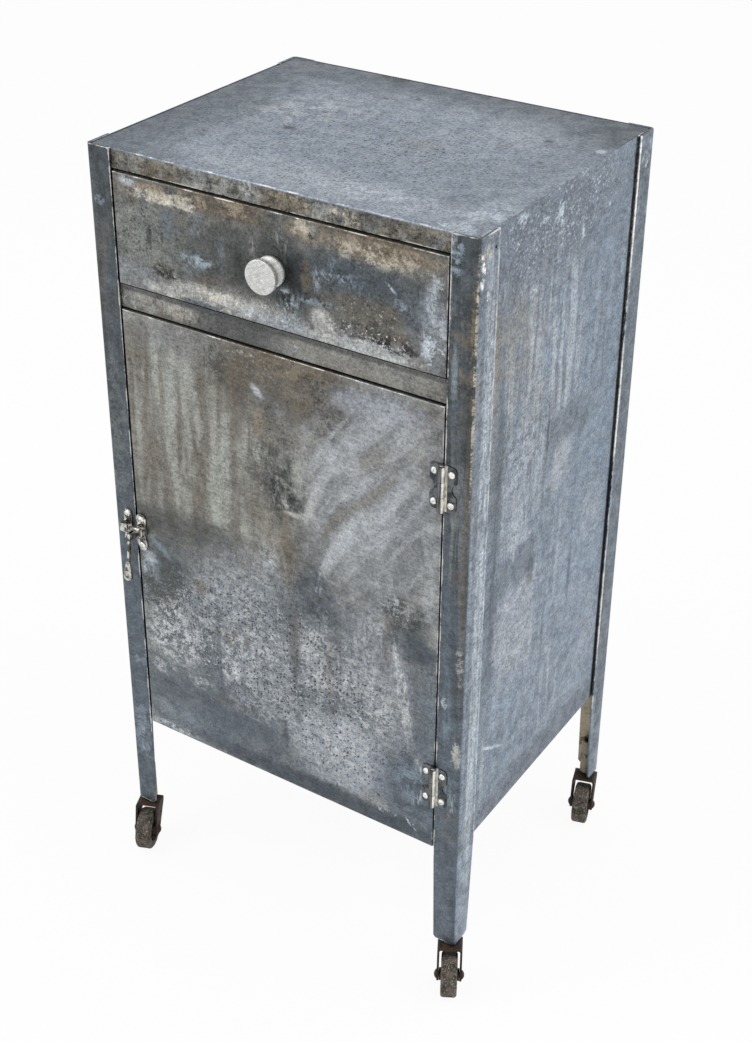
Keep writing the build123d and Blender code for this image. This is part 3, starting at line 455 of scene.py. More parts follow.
# Drawer front: dark middle, cream and tan along the top and the lower edge, blue-white scuffs
drawer_panel = panel_of(FRONT_AXES, "drawer_front")
DRAWER_MARKS = (
    Mark(OLIVE_GREY, 0.09, 0.48, 0.15, 0.36, 0.9, soft=0.5),
    Mark(GUNMETAL, 0.45, 0.5, 0.25, 0.33, 0.9, soft=0.5),
    Mark(DARK_SLATE, 0.76, 0.62, 0.18, 0.17, 0.85, soft=0.5),
    Mark(SLATE, 0.175, 0.67, 0.035, 0.11, 0.85, "Scab"),
    Mark(SLATE, 0.13, 0.6, 0.06, 0.08, 0.55, "Scab"),
    Mark(GREEN_BLACK, 0.112, 0.51, 0.008, 0.09, 0.8),
    Mark(GREEN_BLACK, 0.155, 0.52, 0.005, 0.05, 0.7),
    Mark(SOOT_AND_SHADE_BLACK, 0.08, 0.6, 0.08, 0.25, 0.7, "Speck"),
    Mark(SOOT_AND_SHADE_BLACK, 0.07, 0.45, 0.08, 0.4, 0.6, "Pit", soft=0.6),
    # Painted shadow of the knob, to its right and below it
    Mark(SOOT_AND_SHADE_BLACK, 0.55, 0.42, 0.05, 0.22, 0.8, soft=0.7),
    Mark(SOOT_AND_SHADE_BLACK, 0.4, 0.46, 0.035, 0.12, 0.5, soft=0.8),
    Mark(BROWN, 0.79, 0.38, 0.11, 0.11, 0.65, soft=0.6),
    Mark(GUNMETAL, 0.8, 0.4, 0.1, 0.11, 0.6, "Mottle", soft=0.6),
    Mark(PALE_GREY, 0.79, 0.36, 0.1, 0.1, 0.5, "Speck", soft=0.5),
    Mark(BROWN, 0.6, 0.53, 0.014, 0.14, 0.7),
    Mark(BROWN, 0.5, 0.93, 0.55, 0.08, 0.55, "Scab"),
    Mark(BROWN, 0.36, 0.92, 0.115, 0.09, 0.85, square=0.8),
    Mark(TAN, 0.35, 0.93, 0.105, 0.07, 0.85, "Scab"),
    Mark(CREAM, 0.37, 0.97, 0.025, 0.03, 0.85, "Speck"),
    Mark(BROWN, 0.17, 0.985, 0.12, 0.04, 0.85, "Scab"),
    Mark(CREAM, 0.19, 0.875, 0.07, 0.055, 0.95, square=0.9, soft=0.2),
    Mark(TAN, 0.17, 0.93, 0.1, 0.05, 0.8, "Scab"),
    Mark(CREAM, 0.11, 0.86, 0.05, 0.05, 0.7, "Scab"),
    Mark(BROWN, 0.04, 0.85, 0.045, 0.11, 0.75, "Crumb"),
    Mark(TAN, 0.61, 0.91, 0.055, 0.1, 0.85, "Scab"),
    Mark(CREAM, 0.595, 0.92, 0.04, 0.07, 0.6, "Crumb"),
    Mark(BROWN, 0.67, 0.92, 0.05, 0.09, 0.7, "Scab"),
    Mark(TAN, 0.83, 0.9, 0.14, 0.1, 0.9, soft=0.4),
    Mark(CREAM, 0.8, 0.85, 0.12, 0.09, 0.5, "Scab", soft=0.5),
    Mark(CREAM, 0.8, 0.83, 0.1, 0.08, 0.7, "Speck", soft=0.5),
    Mark(BROWN, 0.8, 0.85, 0.13, 0.1, 0.75, "Speck", soft=0.5),
    Mark(BROWN, 0.84, 0.93, 0.13, 0.06, 0.8, "Crumb"),
    Mark(SOOT_AND_SHADE_BLACK, 0.3, 0.9, 0.26, 0.09, 0.6, "Speck", soft=0.5),
    Mark(BROWN, 0.82, 0.985, 0.15, 0.022, 0.85),
    Mark(COOL_GREY, 0.05, 0.12, 0.12, 0.14, 0.8, soft=0.5),
    Mark(PALE_GREY, 0.17, 0.055, 0.075, 0.06, 0.9, soft=0.4),
    Mark(PALE_GREY, 0.195, 0.15, 0.022, 0.055, 0.95, lean=30.0),
    Mark(PALE_GREY, 0.27, 0.13, 0.07, 0.07, 0.75, soft=0.5),
    Mark(BROWN, 0.15, 0.22, 0.055, 0.07, 0.95, "Crumb", lean=10.0),
    Mark(SOOT_AND_SHADE_BLACK, 0.17, 0.23, 0.045, 0.06, 0.8, "Crumb"),
    Mark(WARM_GREY, 0.44, 0.11, 0.16, 0.12, 0.9, soft=0.5),
    Mark(PALE_GREY, 0.4, 0.09, 0.17, 0.09, 0.9, "Mottle", soft=0.6),
    Mark(LILAC_GREY, 0.52, 0.05, 0.11, 0.07, 0.7, soft=0.6),
    Mark(CREAM, 0.31, 0.165, 0.06, 0.06, 0.95, "Crumb"),
    Mark(CHALK, 0.33, 0.13, 0.02, 0.06, 0.9, "Crumb"),
    Mark(CHALK, 0.4, 0.1, 0.2, 0.1, 0.7, "Speck", soft=0.5),
    Mark(CREAM, 0.32, 0.12, 0.02, 0.035, 0.95, "Scab"),
    Mark(BROWN, 0.31, 0.23, 0.055, 0.05, 0.85, "Crumb"),
    Mark(SLATE, 0.26, 0.022, 0.07, 0.022, 0.9),
    Mark(PALE_GREY, 0.65, 0.16, 0.03, 0.15, 0.95, lean=-14.0),
    Mark(PALE_GREY, 0.76, 0.05, 0.145, 0.07, 0.95, square=0.5),
    Mark(PALE_LILAC, 0.78, 0.06, 0.12, 0.07, 0.55, soft=0.6),
    Mark(GREEN_BLACK, 0.79, 0.19, 0.12, 0.08, 0.9, "Crumb"),
    Mark(BROWN, 0.82, 0.23, 0.11, 0.06, 0.9, "Scab"),
    Mark(SOOT_AND_SHADE_BLACK, 0.86, 0.14, 0.06, 0.06, 0.9, "Crumb"),
    Mark(CHALK, 0.79, 0.17, 0.12, 0.08, 0.95, "Speck"),
    Mark(SLATE, 0.93, 0.45, 0.05, 0.2, 0.7, soft=0.5),
    Mark(PALE_LILAC, 0.972, 0.46, 0.022, 0.34, 0.8, "Scab"),
    Mark(LILAC_GREY, 0.965, 0.4, 0.034, 0.34, 0.55, soft=0.5),
    Mark(PALE_BLUE, 0.965, 0.2, 0.03, 0.13, 0.9, "Scab"),
    Mark(PALE_BLUE, 0.958, 0.6, 0.016, 0.14, 0.8, "Wisp"),
    Mark(PALE_BLUE, 0.935, 0.3, 0.01, 0.08, 0.85, "Wisp"),
    Mark(PALE_BLUE, 0.05, 0.95, 0.022, 0.04, 0.6, "Scab", soft=0.6),
    Mark(SCUFF_BLUE, 0.27, 0.4, 0.055, 0.06, 0.8, "Scab", soft=0.6),
    Mark(PALE_BLUE, 0.275, 0.41, 0.04, 0.03, 0.6, "Wisp", soft=0.6),
    Mark(SCUFF_BLUE, 0.24, 0.26, 0.02, 0.07, 0.85, "Wisp", soft=0.7),
    Mark(SCUFF_BLUE, 0.34, 0.55, 0.012, 0.1, 0.85, "Wisp", soft=0.7),
    Mark(SCUFF_BLUE, 0.27, 0.73, 0.024, 0.09, 0.75, "Wisp", soft=0.7),
    Mark(SCUFF_BLUE, 0.69, 0.59, 0.055, 0.045, 0.85, "Scab", lean=-6.0, soft=0.6),
    Mark(PALE_BLUE, 0.69, 0.6, 0.03, 0.018, 0.7, "Wisp", lean=-6.0, soft=0.6),
    Mark(PALE_BLUE, 0.633, 0.53, 0.01, 0.09, 0.75, "Wisp", soft=0.7),
    Mark(PALE_BLUE, 0.75, 0.52, 0.014, 0.035, 0.9, "Scab", soft=0.6),
    Mark(SCUFF_BLUE, 0.75, 0.53, 0.04, 0.06, 0.7, "Wisp", soft=0.8),
    Mark(PALE_BLUE, 0.845, 0.625, 0.016, 0.012, 0.7, "Crumb", lean=40.0, soft=0.6),
    Mark(SCUFF_BLUE, 0.88, 0.46, 0.035, 0.05, 0.7, "Scab", lean=50.0, soft=0.6),
    Mark(SCUFF_BLUE, 0.64, 0.33, 0.06, 0.03, 0.75, "Scab", soft=0.6),
    Mark(SCUFF_BLUE, 0.68, 0.7, 0.014, 0.06, 0.75, "Wisp", soft=0.7),
    Mark(PALE_BLUE, 0.54, 0.26, 0.026, 0.1, 0.8, "Scab", lean=-25.0, soft=0.6),
    Mark(SCUFF_BLUE, 0.55, 0.22, 0.05, 0.12, 0.75, "Wisp", soft=0.7, lean=-30.0),
    Mark(PALE_GREY, 0.53, 0.77, 0.018, 0.12, 0.8, "Wisp", soft=0.7, lean=-8.0),
    Mark(PALE_GREY, 0.445, 0.67, 0.012, 0.08, 0.7, "Wisp", soft=0.7, lean=8.0),
)
DRAWER_WEAR = Wear(streaky=0.10, brushed=0.06, gritty=0.34, scabby=0.26, grainy=2.9)
drawer_front_steel = steel(
    "drawer_front_steel",
    lambda tree: steel_coat(tree, drawer_panel, (GUNMETAL, WARM_GREY), DRAWER_MARKS, DRAWER_WEAR),
    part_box("drawer_front"))

# Door: upright pale strokes, a brown middle, leaning brush strokes, pitted pale steel below, a dark foot
door_panel = panel_of(FRONT_AXES, "door_skin")
DOOR_MARKS = (
    Mark(BROWN_GREY, 0.2, 0.77, 0.32, 0.27, 0.8, soft=0.5),
    Mark(COOL_GREY, 0.8, 0.76, 0.26, 0.24, 0.8, soft=0.5),
    Mark(SLATE, 0.5, 0.29, 0.6, 0.22, 0.75, soft=0.5),
    Mark(BROWN, 0.2, 0.77, 0.3, 0.25, 0.5, "Streak", soft=0.5),
    Mark(SAGE, 0.2, 0.76, 0.25, 0.22, 0.7, "Stroke", soft=0.4),
    Mark(COOL_GREY, 0.16, 0.96, 0.16, 0.04, 0.5, soft=0.6),
    Mark(SAGE, 0.1, 0.91, 0.012, 0.06, 0.55, soft=0.5),
    Mark(SAGE, 0.155, 0.84, 0.016, 0.09, 0.75, lean=3.0, soft=0.5),
    Mark(SAGE, 0.195, 0.915, 0.04, 0.018, 0.55, soft=0.5),
    Mark(SAGE, 0.232, 0.845, 0.014, 0.08, 0.6, lean=-10.0, soft=0.5),
    Mark(SAGE, 0.29, 0.66, 0.024, 0.11, 0.8, soft=0.5),
    Mark(SAGE, 0.328, 0.73, 0.016, 0.13, 0.75, soft=0.5),
    Mark(SAGE, 0.385, 0.6, 0.012, 0.08, 0.6, soft=0.5),
    Mark(SAGE, 0.405, 0.7, 0.014, 0.07, 0.6, soft=0.5),
    Mark(BROWN, 0.362, 0.8, 0.01, 0.07, 0.65, soft=0.5),
    Mark(BROWN, 0.12, 0.86, 0.008, 0.07, 0.45, soft=0.5),
    Mark(BROWN, 0.25, 0.69, 0.009, 0.08, 0.45, soft=0.5),
    Mark(BROWN, 0.05, 0.94, 0.05, 0.05, 0.5, "Mottle"),
    Mark(SOOT_AND_SHADE_BLACK, 0.2, 0.78, 0.22, 0.22, 0.35, "Speck"),
    Mark(BROWN, 0.5, 0.93, 0.21, 0.075, 0.85, soft=0.5),
    Mark(GUNMETAL, 0.42, 0.93, 0.1, 0.06, 0.8, "Scab"),
    Mark(BROWN, 0.56, 0.985, 0.2, 0.02, 0.8),
    Mark(TAN, 0.58, 0.975, 0.13, 0.02, 0.4, "Scab"),
    Mark(GREEN_BLACK, 0.31, 0.945, 0.04, 0.05, 0.85, "Wisp"),
    Mark(GREEN_BLACK, 0.315, 0.945, 0.03, 0.04, 0.7, "Crumb"),
    Mark(PALE_GREY, 0.31, 0.94, 0.03, 0.04, 0.7, "Speck"),
    Mark(DARK_SLATE, 0.51, 0.875, 0.055, 0.035, 0.85, soft=0.6),
    Mark(GREEN_BLACK, 0.65, 0.955, 0.08, 0.03, 0.7, "Crumb"),
    Mark(GREEN_BLACK, 0.66, 0.9, 0.07, 0.04, 0.7, "Crumb"),
    Mark(TAN, 0.57, 0.915, 0.05, 0.03, 0.3, "Crumb"),
    Mark(SOOT_AND_SHADE_BLACK, 0.52, 0.945, 0.2, 0.06, 0.75, "Speck", soft=0.5),
    Mark(PALE_GREY, 0.44, 0.96, 0.13, 0.05, 0.55, "Speck", soft=0.5),
    Mark(BROWN, 0.385, 0.92, 0.07, 0.06, 0.6, "Mottle", soft=0.5),
    Mark(WARM_GREY, 0.48, 0.76, 0.11, 0.14, 0.8, soft=0.5),
    Mark(PALE_GREY, 0.46, 0.76, 0.1, 0.13, 0.5, "Stroke", soft=0.5),
    Mark(PALE_GREY, 0.54, 0.64, 0.08, 0.08, 0.5, "Wisp", soft=0.6),
    Mark(BROWN, 0.45, 0.74, 0.07, 0.15, 0.6, "Mottle"),
    Mark(BROWN, 0.54, 0.83, 0.06, 0.07, 0.5, "Mottle", soft=0.5),
    Mark(GUNMETAL, 0.5, 0.8, 0.05, 0.05, 0.75, "Scab"),
    Mark(GREEN_BLACK, 0.52, 0.73, 0.06, 0.08, 0.85, "Mottle", soft=0.5),
    Mark(GREEN_BLACK, 0.53, 0.72, 0.06, 0.06, 0.75, "Crumb"),
    Mark(GUNMETAL, 0.5, 0.68, 0.045, 0.03, 0.9, "Scab"),
    Mark(PALE_GREY, 0.51, 0.75, 0.06, 0.08, 0.9, "Speck"),
    Mark(SAGE, 0.435, 0.79, 0.013, 0.03, 0.75, soft=0.5),
    Mark(GUNMETAL, 0.47, 0.67, 0.07, 0.05, 0.6, "Wisp", soft=0.5),
    Mark(GREEN_BLACK, 0.48, 0.87, 0.09, 0.04, 0.6, "Wisp", soft=0.5),
    Mark(PALE_GREY, 0.57, 0.79, 0.035, 0.05, 0.6, "Wisp", soft=0.6),
    Mark(PALE_GREY, 0.405, 0.62, 0.03, 0.08, 0.55, "Stroke", soft=0.5),
    Mark(SAGE, 0.47, 0.72, 0.09, 0.12, 0.55, "Wisp", soft=0.6),
    Mark(SOOT_AND_SHADE_BLACK, 0.49, 0.76, 0.08, 0.13, 0.75, "Speck", soft=0.6),
    Mark(TAN, 0.445, 0.85, 0.02, 0.03, 0.6, soft=0.5),
    Mark(GUNMETAL, 0.57, 0.61, 0.05, 0.06, 0.65, "Mottle", soft=0.6),
    Mark(SAGE, 0.47, 0.57, 0.05, 0.07, 0.55, "Wisp", soft=0.6),
    Mark(GUNMETAL, 0.435, 0.745, 0.04, 0.06, 0.7, "Scab", soft=0.5),
    Mark(SOOT_AND_SHADE_BLACK, 0.51, 0.71, 0.06, 0.05, 0.65, "Crumb", soft=0.5),
    Mark(SAGE, 0.565, 0.76, 0.016, 0.04, 0.65, soft=0.6),
    Mark(TAN, 0.5, 0.62, 0.05, 0.08, 0.4, "Stroke", soft=0.6),
    Mark(BROWN, 0.42, 0.65, 0.03, 0.03, 0.65, "Scab"),
    Mark(PALE_LILAC, 0.8, 0.76, 0.21, 0.21, 0.6, "Sweep", soft=0.4),
    Mark(BROWN_GREY, 0.775, 0.755, 0.016, 0.1, 0.65, lean=42.0, soft=0.5),
    Mark(BROWN_GREY, 0.8, 0.85, 0.03, 0.04, 0.55, lean=40.0, soft=0.6),
    Mark(BROWN_GREY, 0.67, 0.68, 0.012, 0.06, 0.5, lean=28.0, soft=0.5),
    Mark(PALE_LILAC, 0.695, 0.635, 0.018, 0.1, 0.85, lean=28.0, soft=0.35),
    Mark(PALE_LILAC, 0.825, 0.745, 0.02, 0.11, 0.6, lean=36.0, soft=0.5),
    Mark(PALE_LILAC, 0.64, 0.765, 0.016, 0.1, 0.65, lean=22.0, soft=0.4),
    Mark(PALE_LILAC, 0.735, 0.88, 0.03, 0.07, 0.4, lean=28.0, soft=0.6),
    Mark(PALE_LILAC, 0.84, 0.62, 0.03, 0.08, 0.7, "Stroke", soft=0.5),
    Mark(PALE_LILAC, 0.94, 0.62, 0.04, 0.09, 0.7, "Stroke", soft=0.5),
    Mark(LILAC_GREY, 0.82, 0.955, 0.12, 0.03, 0.65, soft=0.6),
    Mark(BROWN, 0.95, 0.86, 0.04, 0.03, 0.55, "Mottle"),
    Mark(BROWN, 0.95, 0.97, 0.05, 0.025, 0.6, "Mottle"),
    Mark(GUNMETAL, 0.15, 0.55, 0.22, 0.035, 0.7, soft=0.7),
    Mark(GUNMETAL, 0.07, 0.39, 0.085, 0.075, 0.9, soft=0.6),
    Mark(DARK_SLATE, 0.3, 0.48, 0.26, 0.06, 0.5, "Scab"),
    Mark(DARK_SLATE, 0.61, 0.5, 0.065, 0.07, 0.9, "Mottle", soft=0.4),
    Mark(DARK_SLATE, 0.66, 0.45, 0.06, 0.03, 0.7, "Scab"),
    Mark(GREEN_BLACK, 0.9, 0.53, 0.075, 0.05, 0.85, "Mottle", soft=0.5),
    Mark(GREEN_BLACK, 0.895, 0.53, 0.065, 0.045, 0.8, "Crumb"),
    Mark(DARK_SLATE, 0.93, 0.465, 0.075, 0.03, 0.85, soft=0.5),
    Mark(PALE_GREY, 0.88, 0.545, 0.05, 0.03, 0.8, "Speck"),
    Mark(PALE_LILAC, 0.872, 0.545, 0.01, 0.03, 0.8, "Scab"),
    Mark(PALE_BLUE, 0.46, 0.55, 0.03, 0.03, 0.7, "Crumb", soft=0.6),
    Mark(PALE_BLUE, 0.63, 0.52, 0.016, 0.012, 0.6, "Wisp"),
    Mark(PALE_GREY, 0.43, 0.488, 0.035, 0.004, 0.6, lean=18.0),
    Mark(BROWN, 0.53, 0.58, 0.03, 0.08, 0.65, "Stroke", soft=0.6),
    Mark(BROWN_GREY, 0.46, 0.6, 0.09, 0.07, 0.55, "Wisp", soft=0.6),
    Mark(PALE_LILAC, 0.45, 0.52, 0.1, 0.06, 0.45, "Wisp", soft=0.6),
    Mark(CHALK, 0.34, 0.39, 0.14, 0.11, 0.5, "Crumb", soft=0.5),
    Mark(PALE_LILAC, 0.33, 0.42, 0.12, 0.09, 0.6, "Wisp", soft=0.5),
    Mark(LILAC_GREY, 0.36, 0.36, 0.16, 0.14, 0.5, "Streak", soft=0.5),
    Mark(CHALK, 0.12, 0.27, 0.1, 0.09, 0.8, "Crumb", soft=0.4),
    Mark(CHALK, 0.215, 0.26, 0.04, 0.06, 0.7, "Speck", soft=0.4),
    Mark(PALE_LILAC, 0.615, 0.34, 0.045, 0.08, 0.8, "Streak", soft=0.5),
    Mark(CHALK, 0.62, 0.35, 0.06, 0.09, 0.7, "Crumb", soft=0.5),
    Mark(LILAC_GREY, 0.8, 0.31, 0.16, 0.14, 0.35, soft=0.6),
    Mark(CHALK, 0.77, 0.29, 0.11, 0.12, 0.65, "Crumb", soft=0.6),
    Mark(CHALK, 0.8, 0.36, 0.1, 0.13, 0.45, "Wisp", soft=0.6),
    Mark(CHALK, 0.43, 0.27, 0.13, 0.1, 0.6, "Crumb", soft=0.5),
    Mark(LILAC_GREY, 0.45, 0.27, 0.14, 0.12, 0.45, "Mottle", soft=0.5),
    Mark(CHALK, 0.47, 0.3, 0.44, 0.14, 0.7, "Speck", soft=0.5),
    Mark(DARK_SLATE, 0.48, 0.31, 0.46, 0.15, 0.45, "Scab", soft=0.5),
    Mark(GUNMETAL, 0.54, 0.36, 0.016, 0.1, 0.6, "Stroke", soft=0.6),
    Mark(SLATE, 0.275, 0.26, 0.016, 0.11, 0.85, "Stroke", soft=0.7),
    Mark(GUNMETAL, 0.69, 0.37, 0.016, 0.08, 0.55, "Stroke", soft=0.6),
    Mark(CHALK, 0.897, 0.34, 0.017, 0.11, 0.75, "Wisp", lean=-10.0, soft=0.5),
    Mark(CHALK, 0.897, 0.34, 0.017, 0.11, 0.6, "Crumb", lean=-10.0),
    Mark(PALE_LILAC, 0.865, 0.43, 0.024, 0.05, 0.8, "Streak", soft=0.5),
    Mark(PALE_LILAC, 0.81, 0.49, 0.03, 0.03, 0.75, "Crumb"),
    Mark(LILAC_GREY, 0.69, 0.13, 0.175, 0.095, 0.85, soft=0.35),
    Mark(CHALK, 0.66, 0.14, 0.16, 0.08, 0.45, "Crumb", soft=0.4),
    Mark(DEEP_BLUE, 0.92, 0.1, 0.11, 0.11, 0.85, soft=0.6),
    Mark(CHALK, 0.315, 0.235, 0.034, 0.028, 0.8, "Mottle", soft=0.3),
    Mark(PALE_LILAC, 0.36, 0.212, 0.055, 0.006, 0.9, "Crumb", lean=-4.0),
    Mark(CHALK, 0.065, 0.168, 0.045, 0.018, 0.85, "Crumb"),
    Mark(CHALK, 0.2, 0.166, 0.04, 0.016, 0.85, "Crumb"),
    Mark(BROWN_GREY, 0.545, 0.41, 0.018, 0.07, 0.55, "Streak", soft=0.6),
    Mark(BROWN, 0.665, 0.33, 0.018, 0.09, 0.55, "Streak", soft=0.6),
    Mark(BROWN, 0.85, 0.4, 0.014, 0.1, 0.8, "Stroke", soft=0.7),
    Mark(BROWN, 0.935, 0.37, 0.008, 0.06, 0.5, soft=0.5),
    Mark(BROWN_GREY, 0.22, 0.415, 0.022, 0.02, 0.75, soft=0.4),
    Mark(BROWN, 0.33, 0.325, 0.06, 0.02, 0.6, "Scab"),
    Mark(SLATE, 0.24, 0.075, 0.3, 0.085, 0.9, square=0.3, soft=0.9),
    Mark(PALE_LILAC, 0.42, 0.155, 0.1, 0.025, 0.55, "Crumb", soft=0.6),
    Mark(SLATE, 0.12, 0.165, 0.14, 0.03, 0.7, "Mottle", soft=0.6),
    Mark(DARK_SLATE, 0.22, 0.11, 0.26, 0.04, 0.55, "Scab"),
    Mark(COOL_GREY, 0.22, 0.09, 0.26, 0.05, 0.4, "Cloud", soft=0.6),
    Mark(SCUFF_BLUE, 0.08, 0.06, 0.14, 0.03, 0.4, "Cloud", soft=0.7),
    Mark(BROWN, 0.33, 0.145, 0.08, 0.014, 0.6, "Scab"),
    Mark(DARK_SLATE, 0.505, 0.12, 0.012, 0.045, 0.8, "Mottle", soft=0.4),
    Mark(DARK_SLATE, 0.7, 0.022, 0.45, 0.025, 0.9, soft=0.4),
    Mark(SLATE, 0.98, 0.22, 0.06, 0.22, 0.65, soft=0.95),
    Mark(SCUFF_BLUE, 0.975, 0.36, 0.018, 0.07, 0.55, "Wisp", soft=0.7),
    Mark(DARK_SLATE, 0.93, 0.1, 0.08, 0.07, 0.75, "Mottle", soft=0.5),
    Mark(SOOT_AND_SHADE_BLACK, 0.42, 0.33, 0.27, 0.17, 0.85, "Pit", soft=0.5),
    Mark(SOOT_AND_SHADE_BLACK, 0.7, 0.21, 0.2, 0.17, 0.8, "Pit", soft=0.5),
    Mark(SCUFF_BLUE, 0.03, 0.43, 0.04, 0.04, 0.8, "Scab", soft=0.6),
    Mark(PALE_BLUE, 0.04, 0.44, 0.02, 0.014, 0.85, lean=-30.0, soft=0.6),
    Mark(PALE_BLUE, 0.025, 0.412, 0.02, 0.016, 0.8, "Wisp", soft=0.6),
    Mark(SCUFF_BLUE, 0.08, 0.475, 0.04, 0.008, 0.8, lean=36.0, soft=0.6),
    Mark(PALE_BLUE, 0.015, 0.36, 0.012, 0.012, 0.8, "Wisp"),
    Mark(PALE_BLUE, 0.44, 0.915, 0.022, 0.007, 0.75, lean=38.0, soft=0.7),
    Mark(PALE_GREY, 0.56, 0.671, 0.035, 0.006, 0.85, soft=0.5),
    Mark(PALE_GREY, 0.525, 0.69, 0.009, 0.018, 0.7, "Crumb", lean=-30.0),
    Mark(PALE_GREY, 0.6, 0.69, 0.014, 0.03, 0.6, lean=20.0, soft=0.5),
    Mark(PALE_GREY, 0.4, 0.985, 0.03, 0.005, 0.75, "Crumb"),
    Mark(PALE_BLUE, 0.08, 0.012, 0.1, 0.009, 0.75, "Crumb"),
    Mark(PALE_BLUE, 0.85, 0.04, 0.035, 0.007, 0.75, "Wisp"),
    Mark(PALE_BLUE, 0.93, 0.037, 0.025, 0.006, 0.9, "Crumb", lean=40.0),
    Mark(PALE_BLUE, 0.95, 0.19, 0.014, 0.02, 0.75, "Wisp", soft=0.5),
    Mark(PALE_BLUE, 0.958, 0.115, 0.012, 0.028, 0.85, "Wisp", lean=30.0, soft=0.5),
    Mark(SCUFF_BLUE, 0.93, 0.14, 0.05, 0.04, 0.6, "Scab"),
)
DOOR_WEAR = Wear(streaky=0.15, brushed=0.18, gritty=0.24, scabby=0.16, grainy=2.3)
door_steel = steel(
    "door_steel",
    lambda tree: steel_coat(tree, door_panel, (GUNMETAL, PALE_GREY), DOOR_MARKS, DOOR_WEAR),
    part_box("door_skin"))

